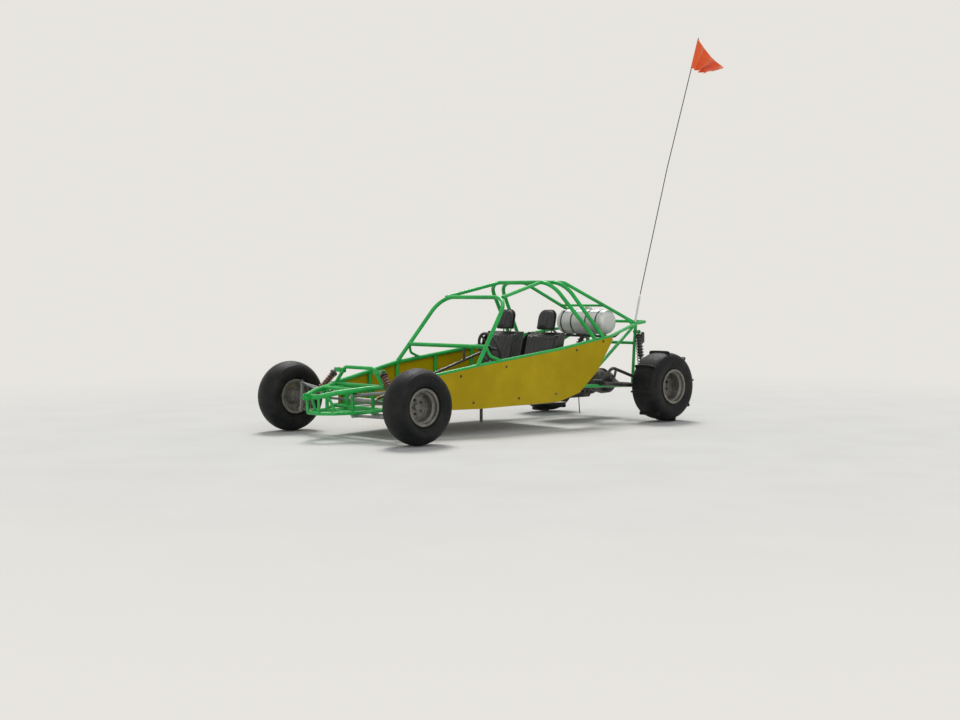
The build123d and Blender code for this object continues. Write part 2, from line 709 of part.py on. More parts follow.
# Padded parts: cushion, back and head rest, each a little clear of the shell
pad_side = 20
pad_front = 122
pads = [
    (seat_width - 2 * pad_side, [(seat_gap, 432), (seat_gap, 885), (85, 885), (pad_front, 432)]),
    (head_width, [(seat_gap, head_low), (seat_gap, head_high), (80, head_high), (80, head_low)]),
]
for side, x in (("left", seat_x), ("right", -seat_x)):
    with BuildPart() as seat_pads:
        back, low = seat_line(seat_floor) - 8, seat_floor + seat_gap
        cushion = [(seat_front_s + 5, low), (back, low), (back, 420), (seat_front_s + 5, 420)]
        add(seat_piece(x, seat_width - 2 * pad_side, cushion))
        for width, corners in pads:
            add(seat_piece(x, width, ahead_of_back(corners)))
    save(seat_pads, f"seat_pads_{side}")

# Fuel tank across the car, with the straps and feet that hold it on a bent cross tube
with BuildPart() as fuel_tank:
    add(tube([(-tank_length / 2, tank_s, tank_z), (tank_length / 2, tank_s, tank_z)], 2 * tank_radius))
    fillet(fuel_tank.edges().filter_by(GeomType.CIRCLE), tank_dome)
save(fuel_tank, "fuel_tank")

strap_places, strap_width, strap_thickness = (-240, -100, 100, 240), 14, 3
strap_radius = tank_radius + seat_gap + strap_thickness
foot_length, foot_height, cradle_drop, cradle_bend = 70, 26, 90, 60
cradle_z = tank_z - strap_radius - small_tube / 2 - 4
cradle_x, _, cradle_rail_z = along(longitudinal, tank_s)
with BuildPart() as tank_cradle:
    cradle = [(cradle_x, tank_s, cradle_rail_z), (cradle_x - cradle_drop, tank_s, cradle_z)]
    add(tube(cradle + flip(cradle[::-1]), small_tube, cradle_bend))
    for x in strap_places:
        with BuildSketch(Plane.YZ.offset(x - strap_width / 2)):
            with Locations((front_axle_y + tank_s, cradle_z + foot_height / 2)):
                Rectangle(foot_length, foot_height)
            with Locations((front_axle_y + tank_s, tank_z)):
                Circle(strap_radius)
                Circle(tank_radius + seat_gap, mode=Mode.SUBTRACT)
        extrude(amount=strap_width)
    cut_by(rear_frame.part, *both_sides)
save(tank_cradle, "tank_cradle")

# Controls
wheel_centre = (280, 1420, 760)
column_aim = (120, rack_s, rack_z)
column_axis = (at(*wheel_centre) - at(*column_aim)).normalized()
column_foot = tuple(Vector(*column_aim) + column_axis * (rack_radius + 2))
wheel_plate = 8
with BuildPart() as steering_column:
    top = Vector(*wheel_centre) - column_axis * (wheel_plate / 2 + seat_gap)
    add(tube([tuple(top), column_foot], small_tube))
    hanger = along([column_foot, wheel_centre], bar_end[1])
    add(tube([hanger, (hanger[0], bar_end[1], bar_end[2])], small_tube - 3))
    cut_by(windshield_hoop.part)
save(steering_column, "steering_column")

wheel_plane = Plane(origin=at(*wheel_centre), z_dir=column_axis)
with BuildPart() as steering_wheel:
    with BuildSketch(Plane(origin=wheel_plane.origin + wheel_plane.x_dir * 150, z_dir=wheel_plane.y_dir)):
        Circle(14)
    revolve(axis=Axis(wheel_plane.origin, wheel_plane.z_dir))
    with BuildSketch(wheel_plane):
        Circle(36)
        with PolarLocations(78, 3, start_angle=90):
            Rectangle(140, 24)
    extrude(amount=wheel_plate / 2, both=True)
save(steering_wheel, "steering_wheel")

floor_seat = pan_top + seat_gap
with BuildPart() as pedals:
    with Locations(at(260, 760, floor_seat + 15)):
        Box(240, 40, 30)
    for x in (180, 260, 340):
        add(tube([(x, 760, floor_seat + 15), (x, 720, 400)], 16))
        with Locations(at(x, 716, 415)):
            Box(60, 14, 70)
save(pedals, "pedals")

with BuildPart() as shift_lever:
    with Locations(at(0, 1700, floor_seat + 20)):
        Box(90, 160, 40)
    add(tube([(0, 1700, floor_seat + 20), (0, 1600, 560)], 14))
    with Locations(at(0, 1595, 575)):
        Sphere(25)
save(shift_lever, "shift_lever")

# Tow tabs with their bores: upright at the nose, flat at the tail
tab_bore, tab_thickness, bore_inset = 8.5, 12, 25
nose_bore_s, tail_bore_s, tail_bore_z = nose_end_s + bore_inset, 3460, 330
with BuildPart() as tow_tab_front:
    with BuildSketch(Plane.YZ.offset(-tab_thickness / 2)):
        with Locations((front_axle_y + nose_end_s + 40, 385)):
            RectangleRounded(80, 56, 18)
        with Locations((front_axle_y + nose_bore_s, 385)):
            Circle(tab_bore, mode=Mode.SUBTRACT)
    extrude(amount=tab_thickness)
    cut_by(bumper_loop.part)
save(tow_tab_front, "tow_tab_front")

with BuildPart() as tow_tab_rear:
    with BuildSketch(Plane.XY.offset(tail_bore_z - tab_thickness / 2)):
        with Locations((0, front_axle_y + tail_bore_s - 15)):
            RectangleRounded(60, 80, 18)
        with Locations((0, front_axle_y + tail_bore_s)):
            Circle(tab_bore, mode=Mode.SUBTRACT)
    extrude(amount=tab_thickness)
    cut_by(rear_frame.part, transaxle.part)
save(tow_tab_rear, "tow_tab_rear")

# Whip: sleeve on the rear corner and the flexible rod, with its flag
whip_x = corner_x + 15
whip_path = [(whip_x, 3422, 985), (whip_x, 3498, 1270), (whip_x, 3922, 2600), (whip_x, 4430, 4005)]
with BuildPart() as whip:
    add(tube(whip_path, 10, 4000))
    add(tube([whip_path[0], along(whip_path, whip_path[1][1] - 6)], 22))
    cut_by(rear_frame.part, roof_rails.part)
save(whip, "whip")

flag_corners = [(4428, 4000), (4316, 3690), (4545, 3640), (flag_end_s, 3740)]
with BuildPart() as flag:
    with BuildSketch(Plane.YZ.offset(whip_x - 12)):
        with BuildLine():
            Polyline(*[(front_axle_y + s, z) for s, z in flag_corners], close=True)
        make_face()
    extrude(amount=24)
    cut_by(whip.part)
save(flag, "flag")

# Black strap that hangs under the floor and the thin stay under the engine
with BuildPart() as floor_strap:
    with Locations(at(480, 1130, pan_top - panel_thickness - seat_gap - 70)):
        Box(30, 12, 140)
    add(tube([(0, 2940, 225 - seat_gap), (0, 2955, 50)], 10))
save(floor_strap, "floor_strap")
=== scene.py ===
"""Finish, soft goods and hardware of a two-seat dune buggy, laid out as an add-on."""

import json
import math

import bmesh
import bpy
import numpy as np
from bpy.props import FloatProperty, FloatVectorProperty, IntProperty, PointerProperty
from bpy.types import NodeSocket, Operator, Panel, PropertyGroup
from mathutils import Matrix, Vector
from mathutils.bvhtree import BVHTree


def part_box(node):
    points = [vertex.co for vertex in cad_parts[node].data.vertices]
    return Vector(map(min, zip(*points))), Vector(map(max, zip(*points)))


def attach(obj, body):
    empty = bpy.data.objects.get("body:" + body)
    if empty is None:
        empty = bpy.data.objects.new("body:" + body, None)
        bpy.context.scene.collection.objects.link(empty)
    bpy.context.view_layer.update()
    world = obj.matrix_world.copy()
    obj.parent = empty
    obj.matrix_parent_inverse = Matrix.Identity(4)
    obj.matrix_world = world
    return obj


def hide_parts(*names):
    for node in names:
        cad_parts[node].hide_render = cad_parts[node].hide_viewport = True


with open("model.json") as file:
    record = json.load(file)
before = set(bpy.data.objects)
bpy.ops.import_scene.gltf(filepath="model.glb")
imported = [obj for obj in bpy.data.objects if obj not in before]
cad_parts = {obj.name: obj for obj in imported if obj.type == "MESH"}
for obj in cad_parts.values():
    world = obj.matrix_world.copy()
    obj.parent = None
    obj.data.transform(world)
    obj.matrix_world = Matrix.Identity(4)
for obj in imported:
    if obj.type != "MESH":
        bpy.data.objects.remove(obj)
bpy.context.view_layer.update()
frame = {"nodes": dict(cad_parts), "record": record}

bl_info = {
    "name": "Dune Buggy",
    "version": (1, 0, 0),
    "blender": (4, 5, 0),
    "location": "3D View > Sidebar > Buggy",
    "description": "Builds the finish, soft goods and hardware of a tube-frame dune buggy",
    "category": "Object",
}

FRONT_AXLE_Y = -2.1775
SIDES = (("left", 1), ("right", -1))
WHEELS = ("front_left", "front_right", "rear_left", "rear_right")
ACROSS = Vector((1, 0, 0))
UP = Vector((0, 0, 1))

# The finish that stands for each material slot of the record; tyres have one each, named like their node
FINISHES = {
    "frame_paint": "green_paint",
    "panel_yellow": "yellow_paint",
    "sheet_metal": "brushed_sheet",
    "arm_steel": "grey_paint",
    "spring_copper": "copper_coat",
    "black_metal": "satin_black",
    "rim": "cast_alloy",
    "vinyl": "black_vinyl",
    "tank": "spun_alloy",
    "engine": "dark_casting",
    "rod": "whip_rod",
    "flag": "flag_cloth",
}

# Points nearer than this are one point, and edges sharper than this many degrees are shaded sharp
MERGE = 1e-6
SHARP = 40

# Points that a smooth line has between two corners before it is spaced evenly
RUN_STEPS = 40


# Places and meshes


def at(x, s, z, side=1):
    """A point in metres from millimetres: across, behind the front axle, above the ground."""
    return Vector((side * x / 1000, FRONT_AXLE_Y + s / 1000, z / 1000))


def centre_of(node):
    """The middle of a node's box at rest."""
    low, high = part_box(node)
    return (low + high) / 2


def surface_of(*nodes):
    """A search tree of the CAD nodes' surfaces, for laying pieces on them."""
    points, faces = [], []
    for node in nodes:
        mesh = frame["nodes"][node].data
        shift = len(points)
        points += [v.co.copy() for v in mesh.vertices]
        faces += [[shift + i for i in p.vertices] for p in mesh.polygons]
    return BVHTree.FromPolygons(points, faces)


def merged(mesh):
    """A bmesh of a mesh with its double points merged."""
    shape = bmesh.new()
    shape.from_mesh(mesh)
    bmesh.ops.remove_doubles(shape, verts=shape.verts, dist=MERGE)
    return shape


def mesh_of(shape, name):
    """A mesh of a finished bmesh, which is freed."""
    mesh = bpy.data.meshes.new(name)
    shape.to_mesh(mesh)
    shape.free()
    return mesh


def shaded(mesh, sharp=SHARP):
    """The mesh with smooth shading up to an angle."""
    mesh.shade_smooth()
    mesh.set_sharp_from_angle(angle=math.radians(sharp))
    return mesh


def mesh_from(name, points, faces, sharp=SHARP):
    """A mesh with merged points, faces outwards and smooth shading up to an angle."""
    rough = bpy.data.meshes.new(name + "_points")
    rough.from_pydata([tuple(p) for p in points], [], faces)
    shape = merged(rough)
    bpy.data.meshes.remove(rough)
    bmesh.ops.recalc_face_normals(shape, faces=shape.faces)
    return shaded(mesh_of(shape, name), sharp)


def piece(name, mesh, material, body, replaces=()):
    """A piece of the buggy: linked, finished and riding on its body."""
    thing = bpy.data.objects.new(name, mesh)
    bpy.context.scene.collection.objects.link(thing)
    if not mesh.materials:
        mesh.materials.append(bpy.data.materials[material])
    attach(thing, body)
    if replaces:
        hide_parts(*replaces)
    return thing


def pattern(name, mesh):
    """A part that is only repeated: kept out of the scene."""
    return bpy.data.objects.new(name, mesh)


def turned(name, corners, steps, centre=Vector(), direction=ACROSS, closed=True, sharp=SHARP):
    """A turned mesh from (distance along the axis, radius) corners."""
    turn = ACROSS.rotation_difference(direction).to_matrix()
    count = len(corners)
    points = []
    for i in range(steps):
        angle = 2 * math.pi * i / steps
        for along, radius in corners:
            points.append(centre + turn @ Vector((along, radius * math.sin(angle), radius * math.cos(angle))))
    faces = []
    for i in range(steps):
        j = (i + 1) % steps
        for k in range(count if closed else count - 1):
            l = (k + 1) % count
            faces.append((i * count + k, j * count + k, j * count + l, i * count + l))
    return mesh_from(name, points, faces, sharp)


def tube_along(name, path, radius, steps=10, closed=False):
    """A round bar that follows a list of points."""
    points, faces = [], []
    count = len(path)
    normal = None
    for i, place in enumerate(path):
        ahead = path[(i + 1) % count] if closed or i + 1 < count else place
        behind = path[i - 1] if closed or i else place
        forward = (ahead - behind).normalized()
        normal = forward.orthogonal() if normal is None else normal - forward * normal.dot(forward)
        normal = normal.normalized()
        across = forward.cross(normal)
        for k in range(steps):
            angle = 2 * math.pi * k / steps
            points.append(place + radius * (math.cos(angle) * normal + math.sin(angle) * across))
    for i in range(count if closed else count - 1):
        j = (i + 1) % count
        for k in range(steps):
            l = (k + 1) % steps
            faces.append((i * steps + k, j * steps + k, j * steps + l, i * steps + l))
    if not closed:
        faces += [tuple(range(steps)), tuple(range((count - 1) * steps, count * steps))]
    return mesh_from(name, points, faces, 60)


def smooth_line(corners, count):
    """Evenly spaced points on a smooth line through a table of corners."""
    table = np.array(corners, float)
    ends = np.vstack([2 * table[0] - table[1], table, 2 * table[-1] - table[-2]])
    fine = []
    for i in range(1, len(ends) - 2):
        a, b, c, d = ends[i - 1 : i + 3]
        bend = 2 * a - 5 * b + 4 * c - d
        swing = 3 * b - a - 3 * c + d
        for t in np.linspace(0, 1, RUN_STEPS, endpoint=False):
            fine.append(0.5 * (2 * b + (c - a) * t + bend * t**2 + swing * t**3))
    fine = np.array(fine + [table[-1]])
    length = np.concatenate([[0], np.cumsum(np.linalg.norm(np.diff(fine, axis=0), axis=1))])
    even = np.linspace(0, length[-1], count)
    return np.stack([np.interp(even, length, fine[:, k]) for k in range(fine.shape[1])], axis=1)


def join_meshes(name, meshes):
    """One mesh out of several."""
    shape = bmesh.new()
    for mesh in meshes:
        shape.from_mesh(mesh)
    return shaded(mesh_of(shape, name))


# Wiring of node trees


class Wiring:
    """Adds nodes to a tree: a value that is a socket is linked, any other is set."""

    def __init__(self, tree):
        self.tree = tree

    def add(self, kind, values=None, **settings):
        node = self.tree.nodes.new(kind)
        for name, value in settings.items():
            setattr(node, name, value)
        for name, value in (values or {}).items():
            if isinstance(value, NodeSocket):
                self.tree.links.new(value, node.inputs[name])
            else:
                node.inputs[name].default_value = value
        return node

    def sum(self, operation, *terms, clamp=False):
        """One step of arithmetic, named as the Math node names it."""
        node = self.add("ShaderNodeMath", dict(enumerate(terms)), operation=operation, use_clamp=clamp)
        return node.outputs[0]

    def vector(self, operation, *terms):
        """One step of vector arithmetic, named as its node names it."""
        node = self.add("ShaderNodeVectorMath", dict(enumerate(terms)), operation=operation)
        return node.outputs["Value" if operation in ("DOT_PRODUCT", "LENGTH") else "Vector"]

    def remap(self, value, low, high, to_low=0.0, to_high=1.0):
        """The value's way from low to high, eased at both ends."""
        values = {"Value": value, "From Min": low, "From Max": high, "To Min": to_low, "To Max": to_high}
        return self.add("ShaderNodeMapRange", values, interpolation_type="SMOOTHSTEP").outputs["Result"]

    def mix(self, factor, first, second):
        """A colour between two colours."""
        node = self.add("ShaderNodeMix", {0: factor, 6: first, 7: second}, data_type="RGBA")
        return node.outputs[2]

    def noise(self, coords, scale, detail=3.0, rough=0.55):
        """A cloudy value between about 0.3 and 0.7."""
        values = {"Vector": coords, "Scale": scale, "Detail": detail, "Roughness": rough}
        return self.add("ShaderNodeTexNoise", values).outputs["Fac"]


def new_group(name, kind, inputs, outputs):
    """A node group with its named sockets, its wiring, its input node and its output node."""
    tree = bpy.data.node_groups.new(name, kind)
    for label, socket, value in inputs:
        item = tree.interface.new_socket(label, in_out="INPUT", socket_type="NodeSocket" + socket)
        if value is not None:
            item.default_value = value
    for label, socket in outputs:
        tree.interface.new_socket(label, in_out="OUTPUT", socket_type="NodeSocket" + socket)
    wires = Wiring(tree)
    return tree, wires, wires.add("NodeGroupInput").outputs, wires.add("NodeGroupOutput").inputs


def shader_group(name, inputs, outputs):
    """A shader node group that reads the surface's own coordinates."""
    tree, wires, given, made = new_group(name, "ShaderNodeTree", inputs, outputs)
    coords = wires.add("ShaderNodeTexCoord").outputs
    return wires, given, made, coords


def build_shader_groups():
    """The effects that several finishes share."""
    wires, given, made, coords = shader_group(
        "sand_dust",
        [("Amount", "Float", 0.5), ("Patch Size", "Float", 6.0), ("Reach", "Float", 0.6)],
        [("Mask", "Float")],
    )
    parts = wires.add("ShaderNodeSeparateXYZ", {0: coords["Object"]}).outputs
    facing = wires.add("ShaderNodeSeparateXYZ", {0: coords["Normal"]}).outputs
    low = wires.remap(wires.sum("DIVIDE", parts["Z"], given["Reach"]), 0.0, 1.0, 1.0, 0.0)
    upward = wires.remap(facing["Z"], 0.35, 1.0, 0.0, 0.6)
    patches = wires.remap(wires.noise(coords["Object"], given["Patch Size"], 6.0, 0.7), 0.38, 0.66)
    cover = wires.sum("ADD", wires.sum("MAXIMUM", low, upward), 0.08)
    mask = wires.sum("MULTIPLY", wires.sum("MULTIPLY", cover, patches), given["Amount"], clamp=True)
    wires.tree.links.new(mask, made["Mask"])

    wires, given, made, coords = shader_group(
        "edge_wear", [("Width", "Float", 0.003), ("Amount", "Float", 0.5)], [("Mask", "Float")]
    )
    rounded = wires.add("ShaderNodeBevel", {"Radius": given["Width"]}, samples=4).outputs["Normal"]
    flat = wires.add("ShaderNodeNewGeometry").outputs["Normal"]
    edge = wires.remap(wires.vector("DOT_PRODUCT", rounded, flat), 0.97, 0.82)
    chips = wires.remap(wires.noise(coords["Object"], 90.0, 5.0, 0.7), 0.45, 0.6)
    mask = wires.sum("MULTIPLY", wires.sum("MULTIPLY", edge, chips), given["Amount"], clamp=True)
    wires.tree.links.new(mask, made["Mask"])

    wires, given, made, coords = shader_group(
        "fine_grain", [("Size", "Float", 200.0)], [("Tone", "Float"), ("Height", "Float")]
    )
    fine = wires.noise(coords["Object"], given["Size"], 4.0, 0.6)
    broad = wires.noise(coords["Object"], wires.sum("MULTIPLY", given["Size"], 0.04), 4.0, 0.6)
    wires.tree.links.new(wires.remap(broad, 0.3, 0.7), made["Tone"])
    wires.tree.links.new(fine, made["Height"])

    wires, given, made, coords = shader_group(
        "brushed_metal",
        [("Size", "Float", 60.0), ("Stretch", "Vector", (1.0, 0.02, 0.02))],
        [("Tone", "Float"), ("Height", "Float")],
    )
    lines = wires.vector("MULTIPLY", coords["Object"], given["Stretch"])
    fine = wires.noise(lines, given["Size"], 5.0, 0.75)
    cloudy = wires.noise(coords["Object"], 9.0, 4.0, 0.6)
    wires.tree.links.new(wires.sum("MULTIPLY", wires.remap(fine, 0.3, 0.7, 0.4, 1.0), cloudy), made["Tone"])
    wires.tree.links.new(fine, made["Height"])

    wires, given, made, coords = shader_group(
        "vinyl_grain", [("Size", "Float", 420.0)], [("Tone", "Float"), ("Height", "Float")]
    )
    values = {"Vector": coords["Object"], "Scale": given["Size"]}
    cells = wires.add("ShaderNodeTexVoronoi", values, feature="DISTANCE_TO_EDGE").outputs["Distance"]
    wires.tree.links.new(wires.noise(coords["Object"], 14.0, 4.0, 0.6), made["Tone"])
    wires.tree.links.new(wires.remap(cells, 0.0, 0.22), made["Height"])

    wires, given, made, coords = shader_group(
        "cloth_weave", [("Threads", "Float", 260.0)], [("Tone", "Float"), ("Height", "Float")]
    )
    threads = wires.add("ShaderNodeSeparateXYZ", {0: coords["UV"]}).outputs
    warp = wires.sum("SINE", wires.sum("MULTIPLY", threads["X"], given["Threads"]))
    weft = wires.sum("SINE", wires.sum("MULTIPLY", threads["Y"], given["Threads"]))
    crossing = wires.sum("MULTIPLY", warp, weft)
    wires.tree.links.new(wires.noise(coords["UV"], 9.0, 4.0, 0.6), made["Tone"])
    wires.tree.links.new(wires.remap(crossing, -1.0, 1.0), made["Height"])

    wires, given, made, coords = shader_group(
        "rubber_skin", [("Centre", "Vector", (0.0, 0.0, 0.0))], [("Tone", "Float"), ("Height", "Float")]
    )
    local = wires.vector("SUBTRACT", coords["Object"], given["Centre"])
    spread = wires.vector("MULTIPLY", local, (0.0, 1.0, 1.0))
    radius = wires.vector("LENGTH", spread)
    rings = wires.sum("SINE", wires.sum("MULTIPLY", radius, 1900.0))
    scuffs = wires.noise(coords["Object"], 38.0, 6.0, 0.75)
    pores = wires.noise(coords["Object"], 520.0, 3.0, 0.6)
    height = wires.sum("ADD", wires.sum("MULTIPLY", rings, 0.12), wires.sum("ADD", pores, scuffs))
    wires.tree.links.new(wires.remap(scuffs, 0.35, 0.7), made["Tone"])
    wires.tree.links.new(height, made["Height"])


# Clinging sand, how much rougher it makes a surface, and the roughness of every clear coat
SAND_COLOUR = (0.50, 0.43, 0.34, 1.0)
SAND_ROUGHNESS = 0.4
COAT_ROUGHNESS = 0.12


def finish(
    name, colour, worn, texture, values, metal=0.0, rough=(0.3, 0.45), coat=0.0, bump=0.0004,
    dust=(0.5, 7.0, 0.6), wear=(0.002, 0.6), tint=0.25, sheen=0.0, band=None, specular=0.5,
):
    """A material with its own grain, colour drift, worn edges and sand dust.

    texture is the group that gives tone and height, with its values; rough goes from the light tone to the
    dark one; dust is amount, patch size and reach; wear is width and amount; tint is how much darker the
    dark tone is; band is a height and the colour below it.
    """
    material = bpy.data.materials.new(name)
    material.use_nodes = True
    wires = Wiring(material.node_tree)
    shader = material.node_tree.nodes["Principled BSDF"]
    link = material.node_tree.links.new

    def effect(group, **inputs):
        node = wires.add("ShaderNodeGroup", node_tree=bpy.data.node_groups[group])
        for label, value in inputs.items():
            node.inputs[label.replace("_", " ")].default_value = value
        return node.outputs

    grain = effect(texture, **values)
    base = (*colour, 1.0)
    deep = (*[c * (1 - tint) for c in colour], 1.0)
    tone = wires.mix(grain["Tone"], deep, base)
    if band:
        height = wires.add("ShaderNodeSeparateXYZ", {0: wires.add("ShaderNodeTexCoord").outputs["Object"]})
        tone = wires.mix(wires.remap(height.outputs["Z"], band[0], band[0] + 0.004), (*band[1], 1.0), tone)
    if wear:
        edges = effect("edge_wear", Width=wear[0], Amount=wear[1])["Mask"]
        tone = wires.mix(edges, tone, (*worn, 1.0))
    sand = effect("sand_dust", Amount=dust[0], Patch_Size=dust[1], Reach=dust[2])["Mask"]
    tone = wires.mix(sand, tone, SAND_COLOUR)
    link(tone, shader.inputs["Base Color"])
    gloss = wires.remap(grain["Tone"], 0.0, 1.0, rough[1], rough[0])
    dusty = wires.sum("MULTIPLY", sand, SAND_ROUGHNESS)
    link(wires.sum("ADD", gloss, dusty, clamp=True), shader.inputs["Roughness"])
    if metal:
        shine = wires.sum("MULTIPLY", wires.sum("SUBTRACT", 1.0, sand), metal)
        link(shine, shader.inputs["Metallic"])
    shader.inputs["Coat Weight"].default_value = coat
    shader.inputs["Coat Roughness"].default_value = COAT_ROUGHNESS
    shader.inputs["Sheen Weight"].default_value = sheen
    shader.inputs["Specular IOR Level"].default_value = specular
    relief = wires.add("ShaderNodeBump", {"Height": grain["Height"], "Distance": bump, "Strength": 1.0})
    link(relief.outputs["Normal"], shader.inputs["Normal"])
    return material


# Geometry trees that repeat parts


def geometry_group(name, inputs):
    """A geometry tree with its host, its part, its own inputs and its finish."""
    tree, wires, given, made = new_group(
        name,
        "GeometryNodeTree",
        [("Geometry", "Geometry", None), ("Part", "Object", None), *inputs, ("Finish", "Material", None)],
        [("Geometry", "Geometry")],
    )
    part = wires.add("GeometryNodeObjectInfo", {"Object": given["Part"]}).outputs["Geometry"]
    return wires, given, made, part


def close_tree(wires, given, made, instances, shift=None):
    """Realises the repeated parts, moves them if asked and gives them their finish."""
    real = wires.add("GeometryNodeRealizeInstances", {"Geometry": instances}).outputs["Geometry"]
    if shift is not None:
        values = {"Geometry": real, "Translation": shift}
        real = wires.add("GeometryNodeTransform", values).outputs["Geometry"]
    done = wires.add("GeometryNodeSetMaterial", {"Geometry": real, "Material": given["Finish"]})
    wires.tree.links.new(done.outputs["Geometry"], made["Geometry"])


def build_geometry_groups():
    """The trees that repeat a part round an axle, on points and along a path."""
    wires, given, made, part = geometry_group(
        "round_the_axle",
        [("Count", "Int", 8), ("Start Angle", "Float", 0.0), ("Centre", "Vector", (0.0, 0.0, 0.0))],
    )
    points = wires.add("GeometryNodePoints", {"Count": given["Count"]}).outputs["Points"]
    step = wires.sum("DIVIDE", 2 * math.pi, given["Count"])
    index = wires.add("GeometryNodeInputIndex").outputs["Index"]
    angle = wires.sum("ADD", wires.sum("MULTIPLY", index, step), given["Start Angle"])
    euler = wires.add("ShaderNodeCombineXYZ", {"X": angle}).outputs["Vector"]
    turn = wires.add("FunctionNodeEulerToRotation", {"Euler": euler}).outputs["Rotation"]
    placed = wires.add("GeometryNodeInstanceOnPoints", {"Points": points, "Instance": part, "Rotation": turn})
    close_tree(wires, given, made, placed.outputs["Instances"], given["Centre"])

    wires, given, made, part = geometry_group("on_points", [("Scale", "Float", 1.0)])
    read = wires.add("GeometryNodeInputNamedAttribute", {"Name": "turn"}, data_type="FLOAT_VECTOR")
    values = {"Euler": read.outputs["Attribute"]}
    turn = wires.add("FunctionNodeEulerToRotation", values).outputs["Rotation"]
    values = {"Points": given["Geometry"], "Instance": part, "Rotation": turn, "Scale": given["Scale"]}
    placed = wires.add("GeometryNodeInstanceOnPoints", values)
    close_tree(wires, given, made, placed.outputs["Instances"])

    wires, given, made, part = geometry_group(
        "along_path", [("Spacing", "Float", 0.005), ("Wobble", "Float", 0.15), ("Seed", "Int", 3)]
    )
    path = wires.add("GeometryNodeMeshToCurve", {"Mesh": given["Geometry"]}).outputs["Curve"]
    dots = wires.add("GeometryNodeCurveToPoints", {"Curve": path, "Length": given["Spacing"]}, mode="LENGTH")
    low = wires.sum("SUBTRACT", 1.0, given["Wobble"])
    high = wires.sum("ADD", 1.0, given["Wobble"])
    size = wires.add("FunctionNodeRandomValue", {"Seed": given["Seed"]}, data_type="FLOAT")
    wires.tree.links.new(low, size.inputs[2])
    wires.tree.links.new(high, size.inputs[3])
    values = {"Points": dots.outputs["Points"], "Instance": part, "Rotation": dots.outputs["Rotation"]}
    placed = wires.add("GeometryNodeInstanceOnPoints", {**values, "Scale": size.outputs[1]})
    close_tree(wires, given, made, placed.outputs["Instances"])


def repeated(name, group, host, values, body):
    """Runs a geometry tree on a host mesh and keeps the result as a plain mesh."""
    tree = bpy.data.node_groups[group]
    maker = bpy.data.objects.new(name + "_maker", host)
    bpy.context.scene.collection.objects.link(maker)
    step = maker.modifiers.new("repeat", "NODES")
    step.node_group = tree
    for item in tree.interface.items_tree:
        if item.in_out == "INPUT" and item.name in values:
            step[item.identifier] = values[item.name]
    evaluated = maker.evaluated_get(bpy.context.evaluated_depsgraph_get())
    mesh = bpy.data.meshes.new_from_object(evaluated)
    mesh.name = name
    bpy.data.objects.remove(maker)
    if not mesh.polygons:
        raise RuntimeError(f"{name} came out empty")
    mesh.set_sharp_from_angle(angle=math.radians(SHARP))
    return piece(name, mesh, values["Finish"].name, body)


def points_host(places):
    """A mesh of points, each with the turn that takes Z to its direction."""
    mesh = bpy.data.meshes.new("places")
    mesh.from_pydata([tuple(p) for p, _ in places], [], [])
    turns = mesh.attributes.new("turn", "FLOAT_VECTOR", "POINT")
    for i, (_, direction) in enumerate(places):
        turns.data[i].vector = direction.to_track_quat("Z", "Y").to_euler()
    return mesh


def path_host(paths, closed=True):
    """A mesh of edges that follows each path."""
    points, edges = [], []
    for path in paths:
        shift = len(points)
        points += [tuple(p) for p in path]
        edges += [(shift + i, shift + i + 1) for i in range(len(path) - 1)]
        if closed:
            edges.append((shift + len(path) - 1, shift))
    mesh = bpy.data.meshes.new("paths")
    mesh.from_pydata(points, edges, [])
    return mesh


def fasteners(name, part, places, body, material, scale=1.0):
    """The part on each place, with its Z along the place's direction."""
    values = {"Part": part, "Scale": scale, "Finish": bpy.data.materials[material]}
    return repeated(name, "on_points", points_host(places), values, body)


def beads(name, part, paths, spacing, wobble, seed, body, material, closed=True):
    """The part every so far along each path, its size varying by the wobble."""
    values = {"Part": part, "Spacing": spacing, "Wobble": wobble, "Seed": seed}
    values["Finish"] = bpy.data.materials[material]
    return repeated(name, "along_path", path_host(paths, closed), values, body)


def round_the_axle(name, values, centre, material, body):
    """The part turned round a wheel's axle."""
    values = {**values, "Centre": centre, "Finish": bpy.data.materials[material]}
    return repeated(name, "round_the_axle", bpy.data.meshes.new("none"), values, body)


# Small parts that are repeated


WASHER_THICKNESS = 0.0018
HEAD_CHAMFER = 0.0012
WASHER_STEPS = 24


def hex_bolt(name, across, height, washer):
    """A hexagon head with a chamfer, on its washer, standing on Z = 0."""
    shape = bmesh.new()

    def circle(radius, level, steps):
        angles = [2 * math.pi * k / steps for k in range(steps)]
        return [shape.verts.new((radius * math.cos(a), radius * math.sin(a), level)) for a in angles]

    def wall(lower, upper):
        count = len(lower)
        for k in range(count):
            l = (k + 1) % count
            shape.faces.new((lower[k], lower[l], upper[l], upper[k]))

    foot = circle(washer, 0.0, WASHER_STEPS)
    seat = circle(washer, WASHER_THICKNESS, WASHER_STEPS)
    wall(foot, seat)
    shape.faces.new(foot[::-1])
    shape.faces.new(seat)
    neck = circle(across, WASHER_THICKNESS, 6)
    shoulder = circle(across, height, 6)
    crown = circle(across * 0.8, height + HEAD_CHAMFER, 6)
    wall(neck, shoulder)
    wall(shoulder, crown)
    shape.faces.new(neck[::-1])
    shape.faces.new(crown)
    return pattern(name, shaded(mesh_of(shape, name), 30))


def dome(name, radius, height, long=1.0, steps=8, rings=3):
    """A flattened ball, for weld beads, ribs and stitches, longer along Z if asked."""
    shape = bmesh.new()
    bmesh.ops.create_uvsphere(shape, u_segments=steps, v_segments=rings * 2, radius=1.0)
    mesh = mesh_of(shape, name)
    mesh.transform(Matrix.Diagonal((radius, height, radius * long, 1.0)))
    mesh.shade_smooth()
    return pattern(name, mesh)


# Settings


